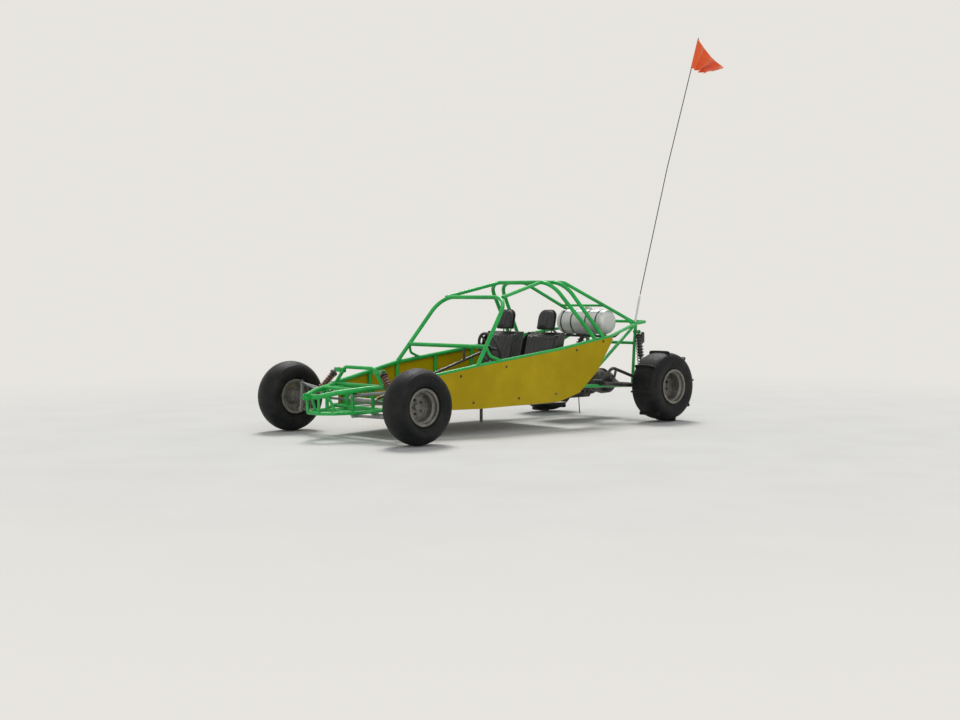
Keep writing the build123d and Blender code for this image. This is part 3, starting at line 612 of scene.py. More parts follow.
def colour_setting(name, description, default):
    """A setting that is a colour."""
    return FloatVectorProperty(name=name, description=description, subtype="COLOR", size=3, default=default)


def length_setting(name, description, default):
    """A setting that is a length in metres."""
    return FloatProperty(name=name, description=description, default=default, unit="LENGTH")


class PaintSettings(PropertyGroup):
    frame_colour: colour_setting("Frame colour", "Paint of the tubes", (0.018, 0.50, 0.085))
    # The panels' colour is a mustard-yellow paint, deepened in part as painted shade of the shaded near side
    panel_paint_and_shade: colour_setting("Panel colour", "Paint of the side panels", (0.53, 0.375, 0.0))
    panel_drop: length_setting("Panel drop", "How far the panels' top edge lies below the packed one", 0.026)
    dust: FloatProperty(
        name="Dust", description="How much sand clings", default=0.5, min=0, max=1, subtype="FACTOR"
    )


class TyreSettings(PropertyGroup):
    paddles: IntProperty(name="Paddles", description="Paddles on each rear tyre", default=8, min=4, max=16)
    paddle_height: length_setting("Paddle height", "Height of a paddle over the carcass", 0.019)
    lugs: IntProperty(name="Lug nuts", description="Nuts on each wheel", default=5, min=3, max=8)
    lug_circle: length_setting("Lug circle", "Radius of the circle of lug nuts", 0.060)


class SeatSettings(PropertyGroup):
    voxel: length_setting("Mesh size", "Voxel of the padded parts", 0.006)
    swell: length_setting("Swell", "Most that a pad swells", 0.012)
    pressure: FloatProperty(name="Pressure", description="Pressure inside a pad", default=4.0)
    flute: length_setting("Flute", "Width of a sewn flute", 0.0475)
    flute_depth: length_setting("Flute depth", "Depth of a flute's seam", 0.007)


class FlagSettings(PropertyGroup):
    width: length_setting("Width", "From the staff to the free edge", 0.50)
    height: length_setting("Height", "Along the staff", 0.33)
    colour: colour_setting("Colour", "Colour of the cloth", (0.95, 0.13, 0.015))


SETTINGS = {
    "buggy_paint": PaintSettings,
    "buggy_tyres": TyreSettings,
    "buggy_seats": SeatSettings,
    "buggy_flag": FlagSettings,
}


class PieceOperator(Operator):
    """Base of the operators that make a group of pieces"""

    bl_idname = "buggy.piece"
    bl_label = "Piece"
    bl_options = {"REGISTER", "UNDO"}

    def execute(self, context):
        self.make(context.scene)
        return {"FINISHED"}

    def make(self, scene):
        raise NotImplementedError


class BUGGY_OT_stage(PieceOperator):
    """Make the camera, the pale floor and the soft lights"""

    bl_idname = "buggy.stage"
    bl_label = "Stage"

    CAMERA = (9.836, -9.7265, 1.253)
    CAMERA_ROUND, CAMERA_DOWN = 47.2, 2.62
    LENS, SENSOR = 52.5, 36.0
    # (name, where the light comes from, its spread in degrees, its strength)
    LAMPS = (("high_light", (-0.42, 0.35, 0.84), 22, 2.3), ("front_light", (0.75, -0.60, 0.42), 50, 0.55))
    BACKDROP = (0.80, 0.78, 0.74, 1.0)
    SOFT_LIGHT, SOFT_STRENGTH = (0.82, 0.88, 0.96, 1.0), 0.50
    FLOOR_DARK, FLOOR_LIGHT = (0.63, 0.61, 0.57, 1.0), (0.66, 0.64, 0.60, 1.0)
    FLOOR_RADIUS, FLOOR_DROP = 90, 0.0005
    # The floor turns into the backdrop between these distances
    FADE_FROM, FADE_TO = 3.2, 10.0

    def make(self, scene):
        self.camera(scene)
        scene.view_settings.view_transform = "Standard"
        for name, source, spread, strength in self.LAMPS:
            lamp = bpy.data.lights.new(name, "SUN")
            lamp.angle, lamp.energy = math.radians(spread), strength
            light = bpy.data.objects.new(name, lamp)
            light.rotation_mode = "QUATERNION"
            light.rotation_quaternion = Vector(source).to_track_quat("Z", "Y")
            scene.collection.objects.link(light)
        self.surround(scene)
        self.floor(scene)

    def camera(self, scene):
        lens = bpy.data.cameras.new("camera")
        lens.lens, lens.sensor_width = self.LENS, self.SENSOR
        lens.clip_end = 200
        camera = bpy.data.objects.new("camera", lens)
        camera.location = self.CAMERA
        turn, dip = math.radians(self.CAMERA_ROUND), math.radians(self.CAMERA_DOWN)
        level = math.cos(dip)
        forward = Vector((-math.sin(turn) * level, math.cos(turn) * level, -math.sin(dip)))
        camera.rotation_mode = "QUATERNION"
        camera.rotation_quaternion = forward.to_track_quat("-Z", "Y")
        scene.collection.objects.link(camera)
        scene.camera = camera

    def direct(self, wires):
        """1 for what the camera sees, straight or through glass, and for reflections."""
        rays = wires.add("ShaderNodeLightPath").outputs
        seen = wires.sum("MAXIMUM", rays["Is Camera Ray"], rays["Is Transmission Ray"])
        return wires.sum("MAXIMUM", seen, rays["Is Glossy Ray"])

    def surround(self, scene):
        """A world that lights softly and looks like the plain backdrop."""
        world = bpy.data.worlds.new("surround")
        world.use_nodes = True
        scene.world = world
        world.node_tree.nodes.clear()
        wires = Wiring(world.node_tree)
        values = {"Color": self.SOFT_LIGHT, "Strength": self.SOFT_STRENGTH}
        soft = wires.add("ShaderNodeBackground", values).outputs[0]
        plain = wires.add("ShaderNodeBackground", {"Color": self.BACKDROP, "Strength": 1.0}).outputs[0]
        shown = wires.add("ShaderNodeMixShader", {0: self.direct(wires), 1: soft, 2: plain}).outputs[0]
        wires.add("ShaderNodeOutputWorld", {"Surface": shown})

    def floor(self, scene):
        """A wide disc that keeps the shadow and turns into the backdrop further out."""
        sand = bpy.data.materials.new("pale_floor")
        sand.use_nodes = True
        wires = Wiring(sand.node_tree)
        link = sand.node_tree.links.new
        shader = sand.node_tree.nodes["Principled BSDF"]
        coords = wires.add("ShaderNodeTexCoord").outputs["Object"]
        ripple = wires.remap(wires.noise(coords, 1.3, 4.0, 0.5), 0.3, 0.7)
        link(wires.mix(ripple, self.FLOOR_DARK, self.FLOOR_LIGHT), shader.inputs["Base Color"])
        shader.inputs["Roughness"].default_value = 0.95
        grain = wires.noise(coords, 260.0, 3.0, 0.7)
        relief = wires.add("ShaderNodeBump", {"Height": grain, "Distance": 0.002})
        link(relief.outputs["Normal"], shader.inputs["Normal"])
        glow = wires.add("ShaderNodeEmission", {"Color": self.BACKDROP, "Strength": 1.0}).outputs[0]
        reach = wires.remap(wires.vector("LENGTH", coords), self.FADE_FROM, self.FADE_TO)
        fade = wires.sum("MULTIPLY", self.direct(wires), reach)
        surface = wires.add("ShaderNodeMixShader", {0: fade, 1: shader.outputs[0], 2: glow}).outputs[0]
        link(surface, sand.node_tree.nodes["Material Output"].inputs["Surface"])
        disc = bmesh.new()
        bmesh.ops.create_circle(disc, cap_ends=True, segments=96, radius=self.FLOOR_RADIUS)
        mesh = mesh_of(disc, "floor")
        mesh.materials.append(sand)
        floor = bpy.data.objects.new("floor", mesh)
        floor.location.z = -self.FLOOR_DROP
        scene.collection.objects.link(floor)


class BUGGY_OT_finishes(PieceOperator):
    """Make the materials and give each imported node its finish"""

    bl_idname = "buggy.finishes"
    bl_label = "Finishes"

    STEEL, BARE, WORN_VINYL = (0.42, 0.42, 0.41), (0.55, 0.55, 0.54), (0.08, 0.08, 0.08)
    RUBBER, SCUFFED_RUBBER = (0.006, 0.0075, 0.008), (0.06, 0.06, 0.06)
    # The whip is bare metal below this height
    FERRULE_TOP, FERRULE = 1.272, (0.62, 0.63, 0.64)

    def make(self, scene):
        build_shader_groups()
        build_geometry_groups()
        paint = scene.buggy_paint
        self.paints(tuple(paint.frame_colour), tuple(paint.panel_paint_and_shade), paint.dust)
        self.metals(paint.dust)
        self.soft_goods(tuple(scene.buggy_flag.colour), paint.dust)
        self.dress()

    def paints(self, frame_colour, panel_paint_and_shade, dust):
        steel, bare = self.STEEL, self.BARE
        finish("green_paint", frame_colour, steel, "fine_grain", {"Size": 120.0}, rough=(0.30, 0.42),
               coat=0.1, bump=0.00012, dust=(dust * 0.15, 8.0, 0.6), tint=0.25, specular=0.3)
        # The yellow is the panels' paint, darkened in part as painted shade
        finish("yellow_paint", panel_paint_and_shade, bare, "fine_grain", {"Size": 60.0}, rough=(0.42, 0.56),
               bump=0.0002, dust=(dust * 0.08, 3.0, 0.45), tint=0.2, specular=0.18)
        finish("grey_paint", (0.20, 0.22, 0.22), bare, "fine_grain", {"Size": 160.0}, metal=0.5,
               rough=(0.32, 0.5), coat=0.2, bump=0.0003, dust=(dust, 10.0, 0.6))
        finish("copper_coat", (0.36, 0.12, 0.06), bare, "fine_grain", {"Size": 200.0}, metal=0.6,
               rough=(0.25, 0.4), coat=0.3, bump=0.0002, dust=(dust * 0.6, 12.0, 0.6))
        finish("satin_black", (0.022, 0.023, 0.026), steel, "fine_grain", {"Size": 220.0}, metal=0.2,
               rough=(0.28, 0.45), coat=0.25, bump=0.0002, dust=(dust * 0.8, 10.0, 0.7))
        finish("whip_rod", (0.03, 0.045, 0.06), bare, "brushed_metal",
               {"Size": 200.0, "Stretch": (1.0, 1.0, 0.03)}, metal=0.2, rough=(0.2, 0.35), coat=0.5,
               bump=0.0001, dust=(dust * 0.3, 20.0, 0.5), wear=None, band=(self.FERRULE_TOP, self.FERRULE))

    def metals(self, dust):
        steel, bare = self.STEEL, self.BARE
        finish("brushed_sheet", (0.46, 0.46, 0.45), bare, "brushed_metal", {"Size": 60.0}, metal=0.9,
               rough=(0.3, 0.5), bump=0.0002, dust=(dust * 1.6, 6.0, 0.9))
        finish("cast_alloy", (0.21, 0.21, 0.19), bare, "brushed_metal",
               {"Size": 80.0, "Stretch": (1.0, 0.4, 0.4)}, metal=0.6, rough=(0.42, 0.6), bump=0.0002,
               dust=(dust * 0.8, 9.0, 0.9), tint=0.35)
        finish("spun_alloy", (0.74, 0.74, 0.72), bare, "brushed_metal",
               {"Size": 90.0, "Stretch": (1.0, 0.04, 0.04)}, metal=0.65, rough=(0.44, 0.58), bump=0.0001,
               dust=(dust * 0.3, 6.0, 0.5), wear=None, tint=0.16)
        finish("dark_casting", (0.030, 0.031, 0.033), bare, "fine_grain", {"Size": 260.0}, metal=0.6,
               rough=(0.4, 0.65), bump=0.0008, dust=(dust * 0.5, 9.0, 0.8), wear=(0.003, 0.5))
        finish("zinc", (0.50, 0.50, 0.49), bare, "fine_grain", {"Size": 400.0}, metal=0.95,
               rough=(0.28, 0.45), bump=0.0002, dust=(dust, 20.0, 0.7), wear=None)
        finish("dark_bolt", (0.045, 0.045, 0.047), steel, "fine_grain", {"Size": 400.0}, metal=0.7,
               rough=(0.35, 0.5), bump=0.0002, dust=(dust, 20.0, 0.7), wear=None)

    def soft_goods(self, flag_colour, dust):
        steel = self.STEEL
        finish("black_vinyl", (0.020, 0.021, 0.024), self.WORN_VINYL, "vinyl_grain", {"Size": 420.0},
               rough=(0.38, 0.55), bump=0.00035, dust=(dust * 0.5, 9.0, 0.8), wear=None)
        finish("thread", (0.10, 0.10, 0.105), steel, "fine_grain", {"Size": 900.0}, rough=(0.7, 0.85),
               bump=0.0002, dust=(dust * 0.4, 20.0, 0.7), wear=None)
        finish("flag_cloth", flag_colour, steel, "cloth_weave", {"Threads": 1500.0}, rough=(0.7, 0.85),
               bump=0.0003, dust=(0.05, 6.0, 0.5), wear=None, tint=0.1, sheen=0.3)
        finish("pedal_rubber", (0.025, 0.025, 0.028), steel, "fine_grain", {"Size": 500.0},
               rough=(0.75, 0.9), bump=0.0006, dust=(dust, 8.0, 0.7), wear=None)
        for place in WHEELS:
            node = "tyre_" + place
            finish(node, self.RUBBER, self.SCUFFED_RUBBER, "rubber_skin", {"Centre": centre_of(node)},
                   rough=(0.46, 0.60), bump=0.0005, dust=(dust * 0.05, 5.0, 2.0), wear=None, specular=0.2)

    def dress(self):
        """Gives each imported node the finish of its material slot."""
        slots = {row["node"]: row["material_slot"] for row in frame["record"]["subparts"]}
        own = {"floor_strap": "satin_black"}
        for node, thing in frame["nodes"].items():
            name = node if slots[node] == "tyre" else own.get(node, FINISHES.get(slots[node]))
            material = bpy.data.materials[name]
            if thing.data.materials:
                for i in range(len(thing.data.materials)):
                    thing.data.materials[i] = material
            else:
                thing.data.materials.append(material)


class BUGGY_OT_tyres(PieceOperator):
    """Make the tyre carcasses with their moulded rings, and the paddles of the rear ones"""

    bl_idname = "buggy.tyres"
    bl_label = "Tyres"

    # (across, radius) corners of half a carcass from bead to crown, and its rings: (radius, height, width)
    FRONT = [
        (0.068, 0.148), (0.079, 0.158), (0.082, 0.168), (0.101, 0.182), (0.124, 0.206), (0.1335, 0.232),
        (0.129, 0.262), (0.113, 0.284), (0.094, 0.2985), (0.066, 0.3125), (0.034, 0.3215), (0.0, 0.3247),
    ]
    FRONT_RINGS = [
        (0.179, 0.0035, 0.006), (0.196, 0.0012, 0.0025), (0.256, 0.0012, 0.0025), (0.287, 0.0022, 0.004),
    ]
    REAR = [
        (0.126, 0.158), (0.139, 0.168), (0.142, 0.178), (0.147, 0.195), (0.1525, 0.222), (0.1545, 0.250),
        (0.150, 0.282), (0.138, 0.305), (0.118, 0.320), (0.084, 0.3305), (0.042, 0.335), (0.0, 0.336),
    ]
    REAR_RINGS = [
        (0.190, 0.0035, 0.006), (0.212, 0.0012, 0.0025), (0.268, 0.0015, 0.003), (0.297, 0.002, 0.004),
    ]
    OUTLINE_POINTS, TURN_STEPS = 141, 144
    # Rings stand on the walls only, outside this distance from the middle, where a fine parting line runs
    WALL_FROM = 0.06
    PARTING_HEIGHT, PARTING_WIDTH = 0.0006, 0.002

    # (along the tread, share of the height) corners of a paddle's section, its scooped face towards +Y
    SECTION = [
        (0.030, 0.0), (0.016, 0.25), (0.0105, 0.6), (0.010, 0.93), (0.007, 1.0), (-0.003, 1.0),
        (-0.006, 0.9), (-0.009, 0.5), (-0.020, 0.0),
    ]
    PADDLE_HALF, PADDLE_STATIONS = 0.134, 33
    # How deep a paddle's foot is sunk, how far its ends sweep back and drop, and where they start to fall
    FOOT_SINK, SWEEP, END_DROP, FALL_FROM = 0.005, 0.010, 0.004, 0.86
    # Where the first paddle stands on the left and on the right tyre, in radians
    FIRST_PADDLE, RIGHT_SHIFT = 0.13, 0.35

    def carcass(self, half, rings):
        """The whole outline from bead to bead, with its rings standing out."""
        whole = half + [(-x, r) for x, r in half[-2::-1]]
        line = smooth_line(whole, self.OUTLINE_POINTS)
        along = np.gradient(line, axis=0)
        out = np.stack([-along[:, 1], along[:, 0]], axis=1)
        out /= np.linalg.norm(out, axis=1)[:, None]
        if out[len(out) // 2, 1] < 0:
            out = -out
        rise = np.zeros(len(line))
        for radius, height, width in rings:
            share = np.clip(1 - np.abs(line[:, 1] - radius) / width, 0, 1)
            rise += height * share * share * (3 - 2 * share) * (np.abs(line[:, 0]) > self.WALL_FROM)
        rise += self.PARTING_HEIGHT * np.clip(1 - np.abs(line[:, 0]) / self.PARTING_WIDTH, 0, 1)
        return [tuple(p) for p in line + out * rise[:, None]]

    def paddle(self, half, top):
        """One moulded paddle across the tread."""
        xs = np.array([x for x, _ in half[::-1]])
        radii = np.array([r for _, r in half[::-1]])
        points, faces = [], []
        stations = np.linspace(-1, 1, self.PADDLE_STATIONS)
        for u in stations:
            x = u * self.PADDLE_HALF
            base = float(np.interp(abs(x), xs, radii)) - self.FOOT_SINK
            fall = max(0.0, (abs(u) - self.FALL_FROM) / (1 - self.FALL_FROM))
            crest = top - self.END_DROP * abs(u) ** 3 - (top - self.END_DROP - base) * 0.7 * fall**2
            for y, share in self.SECTION:
                points.append((x, y * (1 - 0.35 * fall) - self.SWEEP * u * u, base + share * (crest - base)))
        count = len(self.SECTION)
        last = (len(stations) - 1) * count
        for i in range(len(stations) - 1):
            for k in range(count):
                l = (k + 1) % count
                faces.append((i * count + k, (i + 1) * count + k, (i + 1) * count + l, i * count + l))
        faces += [tuple(range(count)), tuple(range(last, last + count))]
        return pattern("paddle", mesh_from("paddle", points, faces, 50))

    def make(self, scene):
        sizes = scene.buggy_tyres
        paddle = self.paddle(self.REAR, self.REAR[-1][1] + sizes.paddle_height)
        for place in WHEELS:
            node, body = "tyre_" + place, "wheel_" + place
            centre = centre_of(node)
            half, rings = (self.FRONT, self.FRONT_RINGS) if "front" in place else (self.REAR, self.REAR_RINGS)
            outline = self.carcass(half, rings)
            mesh = turned("carcass_" + place, outline, self.TURN_STEPS, centre, sharp=35)
            piece("carcass_" + place, mesh, node, body, [node])
            if "rear" in place:
                first = self.FIRST_PADDLE + (self.RIGHT_SHIFT if "right" in place else 0.0)
                values = {"Part": paddle, "Count": sizes.paddles, "Start Angle": first}
                round_the_axle("paddles_" + place, values, centre, node, body)


class BUGGY_OT_wheels(PieceOperator):
    """Make the lug nuts, hub caps, pressed rings and valves of the wheels"""

    bl_idname = "buggy.wheels"
    bl_label = "Wheel hardware"

    # (outwards from the disc, radius) corners of the turned parts, and the valve's place on the disc
    NUT = [
        (0.0, 0.0), (0.0, 0.0135), (0.003, 0.0135), (0.003, 0.0105), (0.014, 0.0105), (0.0165, 0.008),
        (0.0165, 0.0062), (0.022, 0.0062), (0.023, 0.005), (0.023, 0.0),
    ]
    RING = [(0.0, 0.082), (0.0035, 0.085), (0.0045, 0.090), (0.0035, 0.095), (0.0, 0.098), (-0.002, 0.090)]
    CAP = [(0.013, 0.0), (0.013, 0.029), (0.019, 0.027), (0.0225, 0.020), (0.024, 0.010), (0.0245, 0.0)]
    STEM = [
        (0.0, 0.0), (0.0, 0.006), (0.010, 0.005), (0.012, 0.0035), (0.030, 0.0035), (0.032, 0.0045),
        (0.042, 0.0045), (0.043, 0.003), (0.043, 0.0),
    ]
    VALVE_PLACE = Vector((0, 0.078, 0.078))
    # Where the disc's outer face lies, outwards from the tyre's middle
    FRONT_FACE, REAR_FACE = -0.015, 0.010
    FIRST_NUT = 0.35

    def make(self, scene):
        sizes = scene.buggy_tyres
        for place in WHEELS:
            side = 1 if "left" in place else -1
            face = (self.FRONT_FACE if "front" in place else self.REAR_FACE) * side
            middle = centre_of("rim_" + place)
            middle.x = centre_of("tyre_" + place).x
            body = "wheel_" + place

            def on_disc(name, corners, steps, spot, closed=False, sharp=SHARP, foot=face):
                """Turns a part that stands outwards on the wheel's disc."""
                shifted = [(foot + side * x, r) for x, r in corners]
                return turned(name, shifted, steps, spot, closed=closed, sharp=sharp)

            lug_spot = Vector((face, 0, sizes.lug_circle))
            lug = pattern("lug", on_disc("lug", self.NUT, 6, lug_spot, sharp=30, foot=0.0))
            values = {"Part": lug, "Count": sizes.lugs, "Start Angle": self.FIRST_NUT}
            round_the_axle("lug_nuts_" + place, values, middle, "dark_bolt", body)
            ring = on_disc("ring", self.RING, 96, middle, closed=True)
            cap = on_disc("cap", self.CAP, 48, middle)
            name = "hub_trim_" + place
            piece(name, join_meshes(name, [ring, cap]), "cast_alloy", body)
            valve = on_disc("valve", self.STEM, 14, middle + self.VALVE_PLACE)
            piece("valve_" + place, valve, "dark_bolt", body)


class BUGGY_OT_side_sheets(PieceOperator):
    """Make the side panels with their top edge low enough for the top rail to show above it"""

    bl_idname = "buggy.side_sheets"
    bl_label = "Side sheets"

    # Heights that tell the top edge's points from the rest, ahead of the middle and behind it
    FRONT_LEVEL, REAR_LEVEL = 0.47, 0.80

    def make(self, scene):
        for name, _ in SIDES:
            node = "side_panel_" + name
            shape = merged(frame["nodes"][node].data)
            for point in shape.verts:
                if point.co.z > (self.FRONT_LEVEL if point.co.y < 0 else self.REAR_LEVEL):
                    point.co.z -= scene.buggy_paint.panel_drop
            mesh = mesh_of(shape, "side_sheet_" + name)
            mesh.materials.clear()
            mesh.shade_flat()
            piece("side_sheet_" + name, mesh, "yellow_paint", "chassis", [node])


class BUGGY_OT_panel_bolts(PieceOperator):
    """Make the bolts and washers that hold the side panels, and the rivets of the floor pan"""

    bl_idname = "buggy.panel_bolts"
    bl_label = "Panel bolts"

    # (station, height) of each bolt
    BOLTS = [
        (815, 535), (1332, 605), (2248, 733), (2624, 811), (942, 293), (1488, 308), (1966, 328), (420, 300),
        (420, 492),
    ]
    RIVET = [(0.0, 0.0045), (0.0012, 0.004), (0.002, 0.002), (0.0022, 0.0)]
    # Stations of the rivets: every step along the edges, and across the pan over each cross tube
    RIVET_STATIONS, CROSS_EVERY, CROSS_FOR = range(260, 2120, 90), 450, 100
    RIVET_SHARES = (-0.9, -0.45, 0, 0.45, 0.9)
    # Half the pan's width at its front, at the bend and its growth behind it, and the rivets' inset
    PAN_FRONT_S, PAN_BEND_S = 80, 1000
    PAN_FRONT, PAN_BEND, PAN_SPREAD, INSET = 375, 570, 0.03, 40

    def half_pan(self, s):
        """Half the floor pan's width at a station."""
        if s >= self.PAN_BEND_S:
            return self.PAN_BEND + (s - self.PAN_BEND_S) * self.PAN_SPREAD
        share = (s - self.PAN_FRONT_S) / (self.PAN_BEND_S - self.PAN_FRONT_S)
        return self.PAN_FRONT + (self.PAN_BEND - self.PAN_FRONT) * share

    def make(self, scene):
        bolt = hex_bolt("panel_bolt", 0.0068, 0.0062, 0.0115)
        for name, side in SIDES:
            skin = surface_of("side_panel_" + name)
            places = []
            for s, z in self.BOLTS:
                hit, normal, _, _ = skin.ray_cast(at(900, s, z, side), -side * ACROSS)
                if hit is None:
                    raise RuntimeError(f"no panel under the bolt at {s}, {z}")
                places.append((hit - normal * 0.0002, normal))
            fasteners("panel_bolts_" + name, bolt, places, "chassis", "dark_bolt")
        rivet = pattern("rivet", turned("rivet", self.RIVET, 10, direction=UP, closed=False))
        floor = surface_of("floor_pan")
        places = []
        for s in self.RIVET_STATIONS:
            for share in self.RIVET_SHARES:
                hit, _, _, _ = floor.ray_cast(at(share * (self.half_pan(s) - self.INSET), s, 250), -UP)
                edge = abs(share) == max(self.RIVET_SHARES)
                if hit is not None and (edge or s % self.CROSS_EVERY < self.CROSS_FOR):
                    places.append((hit, UP))
        fasteners("floor_rivets", rivet, places, "chassis", "zinc")


class BUGGY_OT_welds(PieceOperator):
    """Make the weld beads where the tubes meet"""

    bl_idname = "buggy.welds"
    bl_label = "Welds"

    # (node that is met, a point up the branch, where it lands, the branch's radius), in millimetres
    JOINTS = [
        ("side_frame", (465, 1478, 1241), (570, 1000, 620), 19),
        ("windshield_hoop", (400, 1130, 790), (541, 1131, 790), 19),
        ("side_frame", (562, 1165, 705), (579, 1300, 656), 12.5),
        ("side_frame", (430, 2090, 1385), (600, 2545, 822), 19),
        ("side_frame", (445, 2250, 1385), (600, 2660, 840), 19),
        ("rear_frame", (275, 2430, 1385), (325, 3450, 968), 17),
        ("roof_rails", (0, 2990, 1156), (302, 2990, 1156), 12.5),
        ("side_frame", (325, 3450, 968), (600, 2740, 852), 16),
        ("side_frame", (325, 3450, 968), (600, 2330, 384), 16),
        ("side_frame", (325, 3400, 330), (600, 2330, 384), 16),
        ("rear_frame", (0, 3425, 770), (325, 3425, 770), 16),
        ("shock_tower", (205, 100, 617), (345, 92, 460), 16),
        ("side_frame", (170, -265, 420), (325, 80, 460), 22),
        ("side_frame", (409, 240, 375), (409, 240, 488), 16),
        ("side_frame", (485, 600, 400), (485, 600, 550), 16),
        ("side_frame", (485, 600, 400), (485, 600, 259), 16),
        ("side_frame", (570, 1000, 430), (570, 1000, 620), 16),
        ("side_frame", (570, 1000, 430), (570, 1000, 256), 16),
        ("side_frame", (585, 1500, 470), (585, 1500, 680), 16),
        ("side_frame", (585, 1500, 470), (585, 1500, 264), 16),
        ("side_frame", (600, 2000, 500), (600, 2000, 740), 16),
        ("side_frame", (600, 2000, 500), (600, 2000, 272), 16),
        ("side_frame", (0, 600, 259), (485, 600, 259), 16),
        ("side_frame", (0, 1000, 256), (570, 1000, 256), 16),
        ("side_frame", (0, 1500, 264), (585, 1500, 264), 16),
        ("side_frame", (0, 2000, 272), (600, 2000, 272), 16),
    ]

    # The tower stands behind the nose frame's joint with the side frames, so both are met there
    TOWER_JOINT = (170, -265, 420)
    # Points of a weld line, how many must be found, how far a bead stands off the branch's skin, and how
    # far back and how far on a ray goes
    STEPS, FEWEST = 40, 22
    STAND_OFF, BACK, REACH = 0.0012, 0.11, 0.16

    def ring(self, tree, start, end, radius):
        """The closed line where a branch's skin meets the tube that it lands on."""
        way = (end - start).normalized()
        first = way.orthogonal().normalized()
        second = way.cross(first)
        steps, skin = self.STEPS, radius + self.STAND_OFF
        line = []
        for k in range(steps):
            angle = 2 * math.pi * k / steps
            out = math.cos(angle) * first + math.sin(angle) * second
            line.append(tree.ray_cast(end - way * self.BACK + out * skin, way, self.REACH)[0])
        found = [k for k, hit in enumerate(line) if hit is not None]
        if len(found) < self.FEWEST:
            raise RuntimeError(f"no weld line at {end}")
        whole = []
        for k, hit in enumerate(line):
            if hit is None:
                before = max([f for f in found if f < k] or [found[-1] - steps])
                after = min([f for f in found if f > k] or [found[0] + steps])
                hit = line[before % steps].lerp(line[after % steps], (k - before) / (after - before))
                out = hit - end - way * (hit - end).dot(way)
                hit = hit + out.normalized() * (skin - out.length)
            whole.append(hit)
        return whole

    def make(self, scene):
        bead = dome("weld_bead", 0.0032, 0.0032, 0.62, 6, 2)
        trees, paths = {}, []
        for name, side in SIDES:
            for node, start, end, radius in self.JOINTS:
                met = f"{node}_{name}" if node == "side_frame" else node
                nodes = (met, "shock_tower") if start == self.TOWER_JOINT else (met,)
                if nodes not in trees:
                    trees[nodes] = surface_of(*nodes)
                paths.append(self.ring(trees[nodes], at(*start, side), at(*end, side), radius / 1000))
        beads("weld_beads", bead, paths, 0.0042, 0.18, 7, "chassis", "green_paint")


class BUGGY_OT_suspension(PieceOperator):
    """Make the bolts of the arms, dampers, tie rods and ball joints"""

    bl_idname = "buggy.suspension"
    bl_label = "Suspension hardware"

    # (across, station, height, half the grip) of the bolts that lie along the buggy
    PINS = [
        (215, -120, 215, 25.3), (215, 105, 215, 25.3), (215, -130, 390, 25.3), (215, -25, 390, 25.3),
        (330, 97, 592, 18.3), (650, 14, 262, 17.3), (368, 3440, 885, 18.3), (548, 3296, 448, 18.3),
    ]
    # The tie rod's end on the steering arm, the kingpin's two ball joints, and how far their nuts stand off
    ROD_END = (735, 140, 360.3)
    LOWER_JOINT, UPPER_JOINT, JOINT_HALF = (742, -8, 212), (742, 8, 452), 0.017

    def make(self, scene):
        bolt = hex_bolt("pivot_bolt", 0.0095, 0.0085, 0.0125)
        places = []
        for _, side in SIDES:
            for x, s, z, grip in self.PINS:
                for way in (-1, 1):
                    places.append((at(x, s + way * grip, z, side), Vector((0, way, 0))))
        fasteners("pivot_bolts", bolt, places, "chassis", "zinc")
        small = hex_bolt("rod_bolt", 0.0085, 0.009, 0.0115)
        for name, side in SIDES:
            top = [(at(*self.ROD_END, side), UP)]
            fasteners("steering_arm_bolt_" + name, small, top, "knuckle_" + name, "zinc")
        places = []
        for _, side in SIDES:
            lower, upper = at(*self.LOWER_JOINT, side), at(*self.UPPER_JOINT, side)
            way = (upper - lower).normalized()
            off = way * self.JOINT_HALF
            places += [(lower - off, -way), (upper + off, way)]
        fasteners("ball_joint_nuts", small, places, "chassis", "dark_bolt", 1.3)


